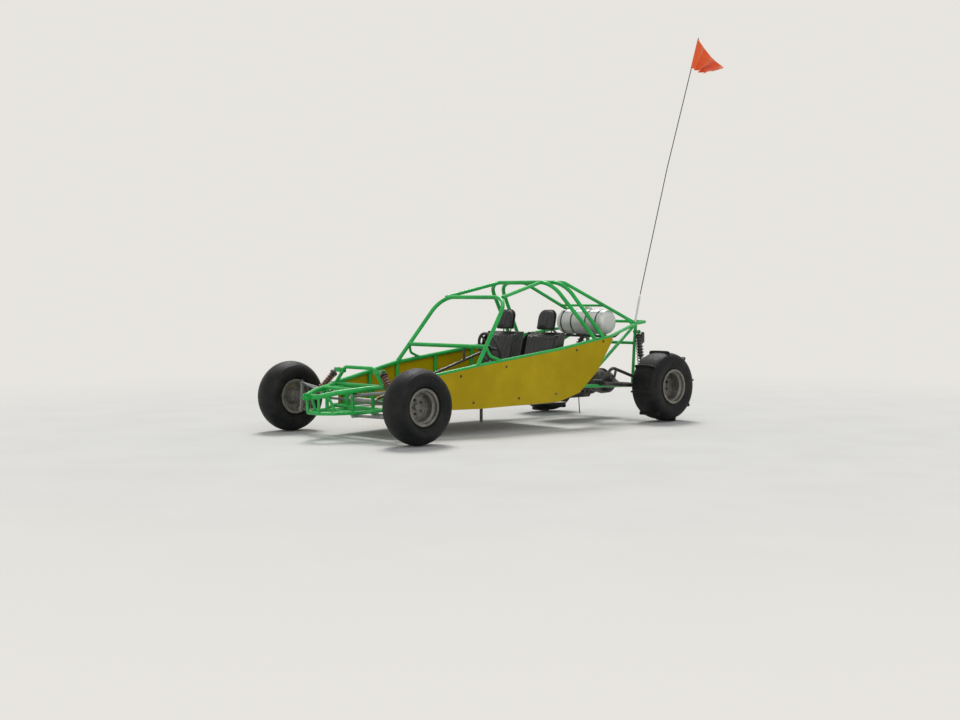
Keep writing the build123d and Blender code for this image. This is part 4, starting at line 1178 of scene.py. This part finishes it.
class BUGGY_OT_seats(PieceOperator):
    """Make the padded seats: swollen by cloth simulation, then fluted, piped and stitched"""

    bl_idname = "buggy.seats"
    bl_label = "Seats"

    # The back leans by this much, and its carrier stands at this station at this height, in millimetres
    LEAN = 183 / 842
    BACK_S, BACK_Z = 2050, 288.3
    UP_BACK = Vector((0, math.sin(math.atan(LEAN)), math.cos(math.atan(LEAN))))
    AHEAD = Vector((0, -math.cos(math.atan(LEAN)), math.sin(math.atan(LEAN))))
    # How far a seat's middle is from the buggy's, the pan's top and the gap under the cushion
    SEAT_SHIFT = 285
    PAN_TOP, PAN_GAP = 309.6, 2

    # Half the width of a headrest's carrier, its top, the rounding of its corners and the cut's two depths
    CARRIER_HALF, CARRIER_TOP, CARRIER_ROUND = 92, 1120, 80
    CUT_DEPTHS, CUT_PAST, CUT_STEPS = (-6, 18), 20, 12

    # Width, edge rounding, corner rounding, number of seams and where they start and end, by padded part
    PADS = {
        "seat_cushion": (404, 0.016, 0.0, 7, FRONT_AXLE_Y + 1.60, FRONT_AXLE_Y + 2.02),
        "seat_back": (400, 0.016, 0.0, 7, 0.45, 0.865),
        "headrest": (176, 0.014, 0.078, 3, 0.945, 1.10),
    }
    # Where the rays that find the piping start: a station, or how far ahead of the back's line, then the
    # height, and how much longer than wide the pad is
    CORES = {"seat_cushion": (1805, 372, 1.15), "seat_back": (56, 660, 1.08), "headrest": (54, 1022, 1.02)}
    PIPING_RADIUS, PIPING_LIFT, PIPING_STEPS = 0.0035, 0.0008, 120
    # Rows of stitches on both sides of a seam, how far they keep off its ends and off the vinyl
    ROW_OFFSETS, ROW_ENDS, ROW_STEPS, ROW_LIFT = (-0.0042, 0.0042), 0.006, 60, 0.0002

    # The start block is slimmer by this share of the swell, and its edges sharper than this are rounded
    SLIMMER, SHARP_EDGE = 0.8, 0.6
    # A sewn seam's groove: its width, the share of a flute that sinks with it and how much, and its ends
    GROOVE, DIP_WIDTH, DIP, FADE = 0.0045, 0.3, 0.35, 0.02
    # From where on a point faces the sitter, and over how much the seams grow to their full depth
    FACING_FROM, FACING_OVER = 0.35, 0.4
    FRAMES = 20
    CLOTH = {
        "use_pressure": True,
        "quality": 5,
        "mass": 0.4,
        "tension_stiffness": 18,
        "compression_stiffness": 18,
        "bending_stiffness": 0.6,
    }

    def back_line(self, z):
        """The station of the back's carrier at a height."""
        return self.BACK_S + self.LEAN * (z - self.BACK_Z)

    def outlines(self, swell):
        """The (station, height) outline of each padded part before it swells."""
        slim = swell * 1000 * self.SLIMMER
        foot = self.PAN_TOP + self.PAN_GAP
        cushion = [(1565 + slim, foot), (2038, foot), (2040, 412), (1800, 398)]
        cushion += [(1600, 412 - slim), (1565 + slim, 400 - slim)]
        back = [(3, 437), (3, 880), (85 - slim, 880), (102 - slim, 700), (122 - slim, 520), (118 - slim, 437)]
        head = [(2, 928), (2, 1117), (78 - slim, 1116), (84 - slim, 932)]
        return {
            "seat_cushion": cushion,
            "seat_back": [(self.back_line(z) - ahead, z) for ahead, z in back],
            "headrest": [(self.back_line(z) - ahead, z) for ahead, z in head],
        }

    def block(self, name, outline, width, rounding, corner):
        """A block from a side outline of (station, height), spread across, its edges rounded."""
        shape = bmesh.new()
        left = [shape.verts.new(at(-width / 2, s, z)) for s, z in outline]
        right = [shape.verts.new(at(width / 2, s, z)) for s, z in outline]
        count = len(outline)
        shape.faces.new(left)
        shape.faces.new(right[::-1])
        for k in range(count):
            l = (k + 1) % count
            shape.faces.new((left[k], right[k], right[l], left[l]))
        bmesh.ops.recalc_face_normals(shape, faces=shape.faces)
        if corner:
            peak = max(z for _, z in outline) / 1000
            upright = []
            for edge in shape.edges:
                first, second = (v.co for v in edge.verts)
                level = abs(first.z - peak) < 0.004 and abs(second.z - peak) < 0.004
                if level and abs(first.x - second.x) < MERGE:
                    upright.append(edge)
            bmesh.ops.bevel(shape, geom=upright, offset=corner, segments=8, affect="EDGES", profile=0.5)
        sharp = [e for e in shape.edges if e.is_manifold and e.calc_face_angle() > self.SHARP_EDGE]
        bmesh.ops.bevel(shape, geom=sharp, offset=rounding, segments=3, affect="EDGES", profile=0.6)
        return mesh_of(shape, name)

    def corner_cut(self, shift, side):
        """What is cut off a corner of a headrest's carrier, to round it like the pad."""
        radius, past = self.CARRIER_ROUND, self.CUT_PAST
        inner, level = self.CARRIER_HALF - radius, self.CARRIER_TOP - radius
        arc = [math.pi / 2 * k / self.CUT_STEPS for k in range(self.CUT_STEPS + 1)]
        outline = [(inner + radius * math.cos(a), level + radius * math.sin(a)) for a in arc]
        outline += [(inner, self.CARRIER_TOP + past), (self.CARRIER_HALF + past, self.CARRIER_TOP + past)]
        outline += [(self.CARRIER_HALF + past, level)]
        points = []
        for depth in self.CUT_DEPTHS:
            points += [at(shift + side * x, self.back_line(z) + depth, z) for x, z in outline]
        count = len(outline)
        faces = [(k, (k + 1) % count, count + (k + 1) % count, count + k) for k in range(count)]
        return mesh_from("corner", points, [*faces, tuple(range(count)), tuple(range(count, 2 * count))])

    def shells(self, scene):
        """The seats' carriers with rounded headrest corners."""
        shell = mesh_of(merged(frame["nodes"]["seat_frames"].data), "seat_shells")
        thing = bpy.data.objects.new("seat_shells_maker", shell)
        scene.collection.objects.link(thing)
        cuts = [self.corner_cut(self.SEAT_SHIFT * seat, side) for seat in (-1, 1) for side in (-1, 1)]
        cutter = bpy.data.objects.new("corners", join_meshes("corners", cuts))
        scene.collection.objects.link(cutter)
        cut = thing.modifiers.new("corners", "BOOLEAN")
        cut.operation, cut.solver, cut.object = "DIFFERENCE", "EXACT", cutter
        done = self.evaluated(thing)
        bpy.data.objects.remove(thing)
        bpy.data.objects.remove(cutter)
        done.materials.clear()
        piece("seat_shells", shaded(done, 15), "satin_black", "chassis", ["seat_frames"])

    def evaluated(self, thing):
        """The mesh that an object's modifiers make."""
        graph = bpy.context.evaluated_depsgraph_get()
        return bpy.data.meshes.new_from_object(thing.evaluated_get(graph))

    def read(self, mesh, field):
        """The points or normals of a mesh as rows of three."""
        values = np.zeros(len(mesh.vertices) * 3)
        mesh.vertices.foreach_get(field, values)
        return values.reshape(-1, 3)

    def simulated(self, scene, thing, pressure):
        """Where the points are after the cloth has swollen."""
        cloth = thing.modifiers.new("cloth", "CLOTH")
        for label, value in self.CLOTH.items():
            setattr(cloth.settings, label, value)
        cloth.settings.uniform_pressure_force = pressure
        cloth.settings.effector_weights.gravity = 0
        cloth.point_cache.frame_start, cloth.point_cache.frame_end = 1, self.FRAMES
        for step in range(1, self.FRAMES + 1):
            scene.frame_set(step)
        end = self.read(self.evaluated(thing), "co")
        thing.modifiers.clear()
        scene.frame_set(1)
        return end

    def swollen(self, scene, name, mesh, sizes):
        """Remeshes the block, lets pressure swell it, holds each point to the cap and smooths it once."""
        thing = bpy.data.objects.new(name, mesh)
        scene.collection.objects.link(thing)
        remesh = thing.modifiers.new("even", "REMESH")
        remesh.mode, remesh.voxel_size = "VOXEL", sizes.voxel
        even = self.evaluated(thing)
        thing.modifiers.clear()
        thing.data = even
        start = self.read(even, "co")
        end = self.simulated(scene, thing, sizes.pressure)
        move = end - start
        length = np.linalg.norm(move, axis=1)[:, None]
        end = start + move * np.minimum(1, sizes.swell / np.maximum(length, 1e-9))
        even.vertices.foreach_set("co", end.ravel())
        even.update()
        smooth = thing.modifiers.new("smooth", "SMOOTH")
        smooth.factor, smooth.iterations = 0.5, 4
        fine = thing.modifiers.new("fine", "SUBSURF")
        fine.levels = fine.render_levels = 1
        done = self.evaluated(thing)
        bpy.data.objects.remove(thing)
        done.name = name
        return done

    def flute(self, mesh, facing, low, high, sizes, seams):
        """Presses the sewn seams into the side that faces the sitter."""
        places, normals = self.read(mesh, "co"), self.read(mesh, "normal")
        face = np.clip((normals @ np.array(facing) - self.FACING_FROM) / self.FACING_OVER, 0, 1)
        nearest = np.min(np.abs(places[:, :1] - np.array(seams)[None, :]), axis=1)
        groove = np.exp(-((nearest / self.GROOVE) ** 2))
        groove += self.DIP * np.exp(-((nearest / (sizes.flute * self.DIP_WIDTH)) ** 2))
        along = places[:, 2 if abs(facing[1]) > 0.7 else 1]
        ends = np.clip((along - low) / self.FADE, 0, 1) * np.clip((high - along) / self.FADE, 0, 1)
        places -= normals * (sizes.flute_depth * groove * face * ends)[:, None]
        mesh.vertices.foreach_set("co", places.ravel())
        mesh.update()

    def stitch_rows(self, name, tree, facing, seams, start, end):
        """The rows of stitches beside each seam, laid on the pad."""
        rows = []
        for seam in seams:
            for offset in self.ROW_OFFSETS:
                row = []
                for t in np.linspace(start + self.ROW_ENDS, end - self.ROW_ENDS, self.ROW_STEPS):
                    if name == "seat_cushion":
                        origin = Vector((0, t, 0.6))
                    else:
                        origin = at(0, self.back_line(t * 1000), t * 1000) + facing * 0.3
                    origin.x = seam + offset
                    hit, normal, _, _ = tree.ray_cast(origin, -facing)
                    if hit is not None:
                        row.append(hit + normal * self.ROW_LIFT)
                if len(row) > 2:
                    rows.append(row)
        return rows

    def piping(self, name, tree, facing):
        """The closed line round a pad's edge."""
        place, z, stretch = self.CORES[name]
        if name == "seat_cushion":
            middle, lengthwise = at(0, place, z), Vector((0, 1, 0))
        else:
            middle, lengthwise = at(0, self.back_line(z), z) + facing * place / 1000, self.UP_BACK
        loop = []
        for k in range(self.PIPING_STEPS):
            angle = 2 * math.pi * k / self.PIPING_STEPS
            probe = ACROSS * math.cos(angle) + lengthwise * math.sin(angle) * stretch
            hit, normal, _, _ = tree.ray_cast(middle, probe.normalized())
            if hit is not None:
                loop.append(hit + normal * self.PIPING_LIFT)
        return loop

    def make(self, scene):
        sizes = scene.buggy_seats
        self.shells(scene)
        outlines = self.outlines(sizes.swell)
        stitch = dome("stitch", 0.0007, 0.0007, 3.2, 6, 2)
        for name, (width, rounding, corner, count, start, end) in self.PADS.items():
            block = self.block(name, outlines[name], width, rounding, corner)
            mesh = self.swollen(scene, name, block, sizes)
            facing = UP if name == "seat_cushion" else self.AHEAD
            seams = [(k - (count - 1) / 2) * sizes.flute for k in range(count)]
            self.flute(mesh, tuple(facing), start, end, sizes, seams)
            points, faces = [v.co.copy() for v in mesh.vertices], [list(p.vertices) for p in mesh.polygons]
            tree = BVHTree.FromPolygons(points, faces)
            rows = self.stitch_rows(name, tree, facing, seams, start, end)
            loop = self.piping(name, tree, facing)
            for side_name, side in SIDES:
                shift = Matrix.Translation((side * self.SEAT_SHIFT / 1000, 0, 0))
                own = mesh.copy()
                own.transform(shift)
                own.shade_smooth()
                node = "seat_pads_" + side_name
                pad = piece(f"{name}_{side_name}", own, "black_vinyl", "chassis", [node])
                edge = tube_along("piping", [shift @ p for p in loop], self.PIPING_RADIUS, 8, True)
                piece(f"{name}_piping_{side_name}", edge, "black_vinyl", "chassis")
                lines = [[shift @ p for p in row] for row in rows]
                label = f"{name}_stitches_{side_name}"
                beads(label, stitch, lines, 0.0062, 0.05, 5, "chassis", "thread", closed=False)


class BUGGY_OT_flag(PieceOperator):
    """Make the flag's cloth with its sleeve round the whip"""

    bl_idname = "buggy.flag"
    bl_label = "Flag"

    # (across, station, height) of the hoist's ends on the whip and of the free corners, in millimetres
    HEAD, FOOT = (340, 4424, 3992), (340, 4311, 3676)
    TIP, LOW = (340, 4862, 3742), (340, 4545, 3640)
    STEPS_ACROSS, STEPS_DOWN = 84, 56
    SLEEVE_RADIUS, THICKNESS = 0.0078, 0.0008
    # Folds at the head and how many more at the foot, the deepest that one may be, and the top edge's sag
    FOLDS, MORE_FOLDS, DEEPEST, SAG = 2.2, 0.6, 0.030, 0.035
    # The lower part of the free edge lifts by this much, from this share of the way down
    LIFT, LIFT_FROM = 0.012, 0.55

    def row(self, v, hoist, free, width):
        """One row of the cloth, folded deep enough to keep its length."""
        chord = (free - hoist).length
        folds = self.FOLDS + self.MORE_FOLDS * v
        deep = self.depth(chord, folds, max(width / chord, 1.0))
        places = []
        for i in range(self.STEPS_ACROSS + 1):
            u = i / self.STEPS_ACROSS
            place = hoist.lerp(free, u)
            place.z -= self.SAG * math.sin(math.pi * u) * (1 - v) ** 2
            wave = math.sin(2 * math.pi * folds * u - 1.1 * v) + 0.22 * math.sin(4.7 * math.pi * u + 2.3 * v)
            ripple = 0.008 * math.sin(3 * v + 2 * u) * u
            place.x = hoist.x + deep * wave * self.growth(u) + ripple
            places.append(place)
        return places

    def growth(self, u):
        """How much of their full depth the folds have, from none at the hoist."""
        return np.minimum(1.0, u * 6) * (0.85 + 0.3 * u)

    def depth(self, chord, folds, spare):
        """How deep folds have to be for a row of cloth to keep its length."""
        low, high = 0.0, 0.12
        u = np.linspace(0, 1, 400)
        for _ in range(30):
            middle = (low + high) / 2
            x = middle * np.sin(2 * np.pi * folds * u) * self.growth(u)
            length = np.sum(np.hypot(np.diff(x), chord / (len(u) - 1)))
            low, high = (middle, high) if length < chord * spare else (low, middle)
        return min(low, self.DEEPEST)

    def make(self, scene):
        sizes = scene.buggy_flag
        head, foot, tip, low = at(*self.HEAD), at(*self.FOOT), at(*self.TIP), at(*self.LOW)
        points, faces, marks = [], [], []
        for j in range(self.STEPS_DOWN + 1):
            v = j / self.STEPS_DOWN
            free = tip.lerp(low, v**0.8)
            free.z += self.LIFT * math.sin(math.pi * max(v - self.LIFT_FROM, 0) / (1 - self.LIFT_FROM))
            points += [tuple(p) for p in self.row(v, head.lerp(foot, v), free, sizes.width)]
            marks += [(i / self.STEPS_ACROSS, 1 - v) for i in range(self.STEPS_ACROSS + 1)]
        wide = self.STEPS_ACROSS + 1
        for j in range(self.STEPS_DOWN):
            for a in range(j * wide, j * wide + self.STEPS_ACROSS):
                faces.append((a, a + 1, a + wide + 1, a + wide))
        mesh = bpy.data.meshes.new("flag_cloth")
        mesh.from_pydata(points, [], faces)
        layer = mesh.uv_layers.new(name="cloth")
        for loop in mesh.loops:
            layer.data[loop.index].uv = marks[loop.vertex_index]
        mesh.shade_smooth()
        cloth = piece("flag_cloth", mesh, "flag_cloth", "chassis", ["flag"])
        thick = cloth.modifiers.new("cloth_thickness", "SOLIDIFY")
        thick.thickness, thick.offset = self.THICKNESS, 0
        line = [foot.lerp(head, t) for t in np.linspace(0, 1, 12)]
        sleeve = tube_along("flag_sleeve", line, self.SLEEVE_RADIUS, 14)
        piece("flag_sleeve", sleeve, "flag_cloth", "chassis")


class BUGGY_OT_tank_trim(PieceOperator):
    """Make the tank's seams, filler cap and strap bolts"""

    bl_idname = "buggy.tank_trim"
    bl_label = "Tank trim"

    # (along the tank, height over its skin) corners of a seam, and (up the neck, radius) of the filler
    SEAM = [(-0.0035, -0.001), (-0.0025, 0.0012), (0, 0.0018), (0.0025, 0.0012), (0.0035, -0.001)]
    SEAM_X = 0.268
    NECK = [
        (0.0, 0.0), (0.0, 0.036), (0.010, 0.034), (0.012, 0.031), (0.014, 0.031), (0.014, 0.037),
        (0.030, 0.037), (0.033, 0.034), (0.034, 0.0),
    ]
    # The neck stands this far behind the tank's top line, sunk into its skin
    NECK_BEHIND, NECK_SINK = 0.03, 0.003
    NECK_WAY = Vector((0, 0.24, 0.97)).normalized()
    STRAPS, STRAP_GRIP, STRAP_DROP = (-0.240, -0.100, 0.100, 0.240), 0.035, 0.118

    def make(self, scene):
        centre = centre_of("fuel_tank")
        low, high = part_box("fuel_tank")
        radius = (high.z - low.z) / 2
        seam = [(along, radius + over) for along, over in self.SEAM]
        ends = [Vector((side * self.SEAM_X, centre.y, centre.z)) for side in (-1, 1)]
        meshes = [turned("seam", seam, 128, end) for end in ends]
        rise = math.sqrt(radius**2 - self.NECK_BEHIND**2) - self.NECK_SINK
        top = Vector((0.0, centre.y + self.NECK_BEHIND, centre.z + rise))
        meshes.append(turned("filler", self.NECK, 40, top, self.NECK_WAY, closed=False))
        piece("tank_trim", join_meshes("tank_trim", meshes), "spun_alloy", "chassis")
        bolt = hex_bolt("strap_bolt", 0.0055, 0.005, 0.0075)
        places = []
        for x in self.STRAPS:
            for way in (-1, 1):
                spot = Vector((x, centre.y + way * self.STRAP_GRIP, centre.z - self.STRAP_DROP))
                places.append((spot, Vector((0, way, 0))))
        fasteners("strap_bolts", bolt, places, "chassis", "zinc")


class BUGGY_OT_controls(PieceOperator):
    """Make the steering wheel's boss and grip stitches, the pedals' ribs and the lever's boot"""

    bl_idname = "buggy.controls"
    bl_label = "Controls"

    # The wheel's middle and a point down its column, in millimetres
    WHEEL, COLUMN_FOOT = (280, 1420, 760), (120, 140, 320)
    BOSS = [(-0.002, 0.0), (-0.002, 0.030), (0.006, 0.030), (0.012, 0.026), (0.017, 0.018), (0.019, 0.0)]
    BOSS_LIFT, BOLT_CIRCLE = 0.004, 0.0325
    # The stitches run round the inside of the grip, just proud of it
    STITCH_CIRCLE = 0.150 - 0.0142
    PEDALS, RIB_LEVELS, PEDAL_FACE = (180, 260, 340), (388, 402, 416, 430, 442), 723.3
    # The boot's foot, two points of the lever, and its pleats
    BOOT, LEVER_TOP, LEVER_FOOT = (0, 1698, 276), (0, 1600, 560), (0, 1700, 255)
    PLEATS = 9

    def boot(self):
        """(up the lever, radius) corners of the pleated boot."""
        corners = [(0.0, 0.0), (0.0, 0.046)]
        for k in range(self.PLEATS):
            height, radius = 0.004 + 0.0135 * k, 0.044 - 0.0038 * k
            corners += [(height, radius), (height + 0.006, radius - 0.0065)]
        return corners + [(0.128, 0.0085), (0.128, 0.006)]

    def make(self, scene):
        centre = at(*self.WHEEL)
        axis = (centre - at(*self.COLUMN_FOOT)).normalized()
        first = axis.orthogonal().normalized()
        second = axis.cross(first)

        def circle(middle, radius, steps):
            angles = [2 * math.pi * k / steps for k in range(steps)]
            return [middle + (math.cos(a) * first + math.sin(a) * second) * radius for a in angles]

        face = centre + axis * self.BOSS_LIFT
        boss = turned("horn_boss", self.BOSS, 40, face, axis, closed=False)
        piece("horn_boss", boss, "satin_black", "steering_wheel")
        bolt = hex_bolt("boss_bolt", 0.0032, 0.003, 0.0042)
        places = [(spot, axis) for spot in circle(face, self.BOLT_CIRCLE, 6)]
        fasteners("boss_bolts", bolt, places, "steering_wheel", "zinc", 0.8)
        stitch = dome("grip_stitch", 0.0008, 0.0008, 2.6, 6, 2)
        loop = circle(centre, self.STITCH_CIRCLE, 180)
        beads("grip_stitches", stitch, [loop], 0.006, 0.05, 2, "steering_wheel", "thread")
        rib = dome("pedal_rib", 0.0022, 0.0022, 11.5, 8, 3)
        places = [(at(x, self.PEDAL_FACE, z), ACROSS) for x in self.PEDALS for z in self.RIB_LEVELS]
        fasteners("pedal_ribs", rib, places, "chassis", "pedal_rubber")
        way = (at(*self.LEVER_TOP) - at(*self.LEVER_FOOT)).normalized()
        mesh = turned("lever_boot", self.boot(), 40, at(*self.BOOT), way, closed=False)
        piece("lever_boot", mesh, "black_vinyl", "chassis")


class BUGGY_OT_engine_trim(PieceOperator):
    """Make the engine cover's ribs and the bolts of the cover, sump and transaxle"""

    bl_idname = "buggy.engine_trim"
    bl_label = "Engine trim"

    RIB_S, RIB_HALF, RIBS = 2760, 0.075, 7
    # (across, height, whether it stands upright) of each row of bolts along the engine
    ROWS, ROW_STATIONS = ((130, 650, True), (140, 285, False), (180, 520, False)), range(2580, 2960, 60)
    # The bell's bolts: their circle, its middle's station and height, and how many
    BELL_CIRCLE, BELL_S, BELL_Z, BELL_BOLTS = 148, 3021.5, 378, 12

    def make(self, scene):
        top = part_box("engine")[1].z
        rib = dome("cover_rib", 0.0035, 0.0035, 40.0, 8, 3)
        middle = at(0, self.RIB_S, 0).y
        behind = Vector((0, 1, 0))
        across = np.linspace(-self.RIB_HALF, self.RIB_HALF, self.RIBS)
        places = [(Vector((x, middle, top)), behind) for x in across]
        fasteners("cover_ribs", rib, places, "chassis", "dark_casting")
        bolt = hex_bolt("case_bolt", 0.0058, 0.006, 0.0085)
        places = []
        for s in self.ROW_STATIONS:
            for side in (-1, 1):
                for x, z, upright in self.ROWS:
                    places.append((at(x * side, s, z), UP if upright else side * ACROSS))
        for k in range(self.BELL_BOLTS):
            angle = 2 * math.pi * k / self.BELL_BOLTS
            x, rise = self.BELL_CIRCLE * math.cos(angle), self.BELL_CIRCLE * math.sin(angle)
            places.append((at(x, self.BELL_S, self.BELL_Z + rise), behind))
        fasteners("case_bolts", bolt, places, "chassis", "zinc")


OPERATORS = (
    BUGGY_OT_stage,
    BUGGY_OT_finishes,
    BUGGY_OT_tyres,
    BUGGY_OT_wheels,
    BUGGY_OT_side_sheets,
    BUGGY_OT_panel_bolts,
    BUGGY_OT_welds,
    BUGGY_OT_suspension,
    BUGGY_OT_seats,
    BUGGY_OT_flag,
    BUGGY_OT_tank_trim,
    BUGGY_OT_controls,
    BUGGY_OT_engine_trim,
)


class BUGGY_PT_sidebar(Panel):
    """The buggy's settings and the buttons that make its pieces"""

    bl_idname = "BUGGY_PT_sidebar"
    bl_label = "Dune Buggy"
    bl_space_type = "VIEW_3D"
    bl_region_type = "UI"
    bl_category = "Buggy"

    def draw(self, context):
        for name, group in SETTINGS.items():
            box = self.layout.box()
            for label in group.__annotations__:
                box.prop(getattr(context.scene, name), label)
        for operator in OPERATORS:
            self.layout.operator(operator.bl_idname)


def register():
    for group in SETTINGS.values():
        bpy.utils.register_class(group)
    for name, group in SETTINGS.items():
        setattr(bpy.types.Scene, name, PointerProperty(type=group))
    for thing in (*OPERATORS, BUGGY_PT_sidebar):
        bpy.utils.register_class(thing)


def unregister():
    for thing in (BUGGY_PT_sidebar, *reversed(OPERATORS)):
        bpy.utils.unregister_class(thing)
    for name, group in SETTINGS.items():
        delattr(bpy.types.Scene, name)
        bpy.utils.unregister_class(group)


def main():
    register()
    for operator in OPERATORS:
        group, name = operator.bl_idname.split(".")
        getattr(getattr(bpy.ops, group), name)()


if __name__ == "__main__":
    main()
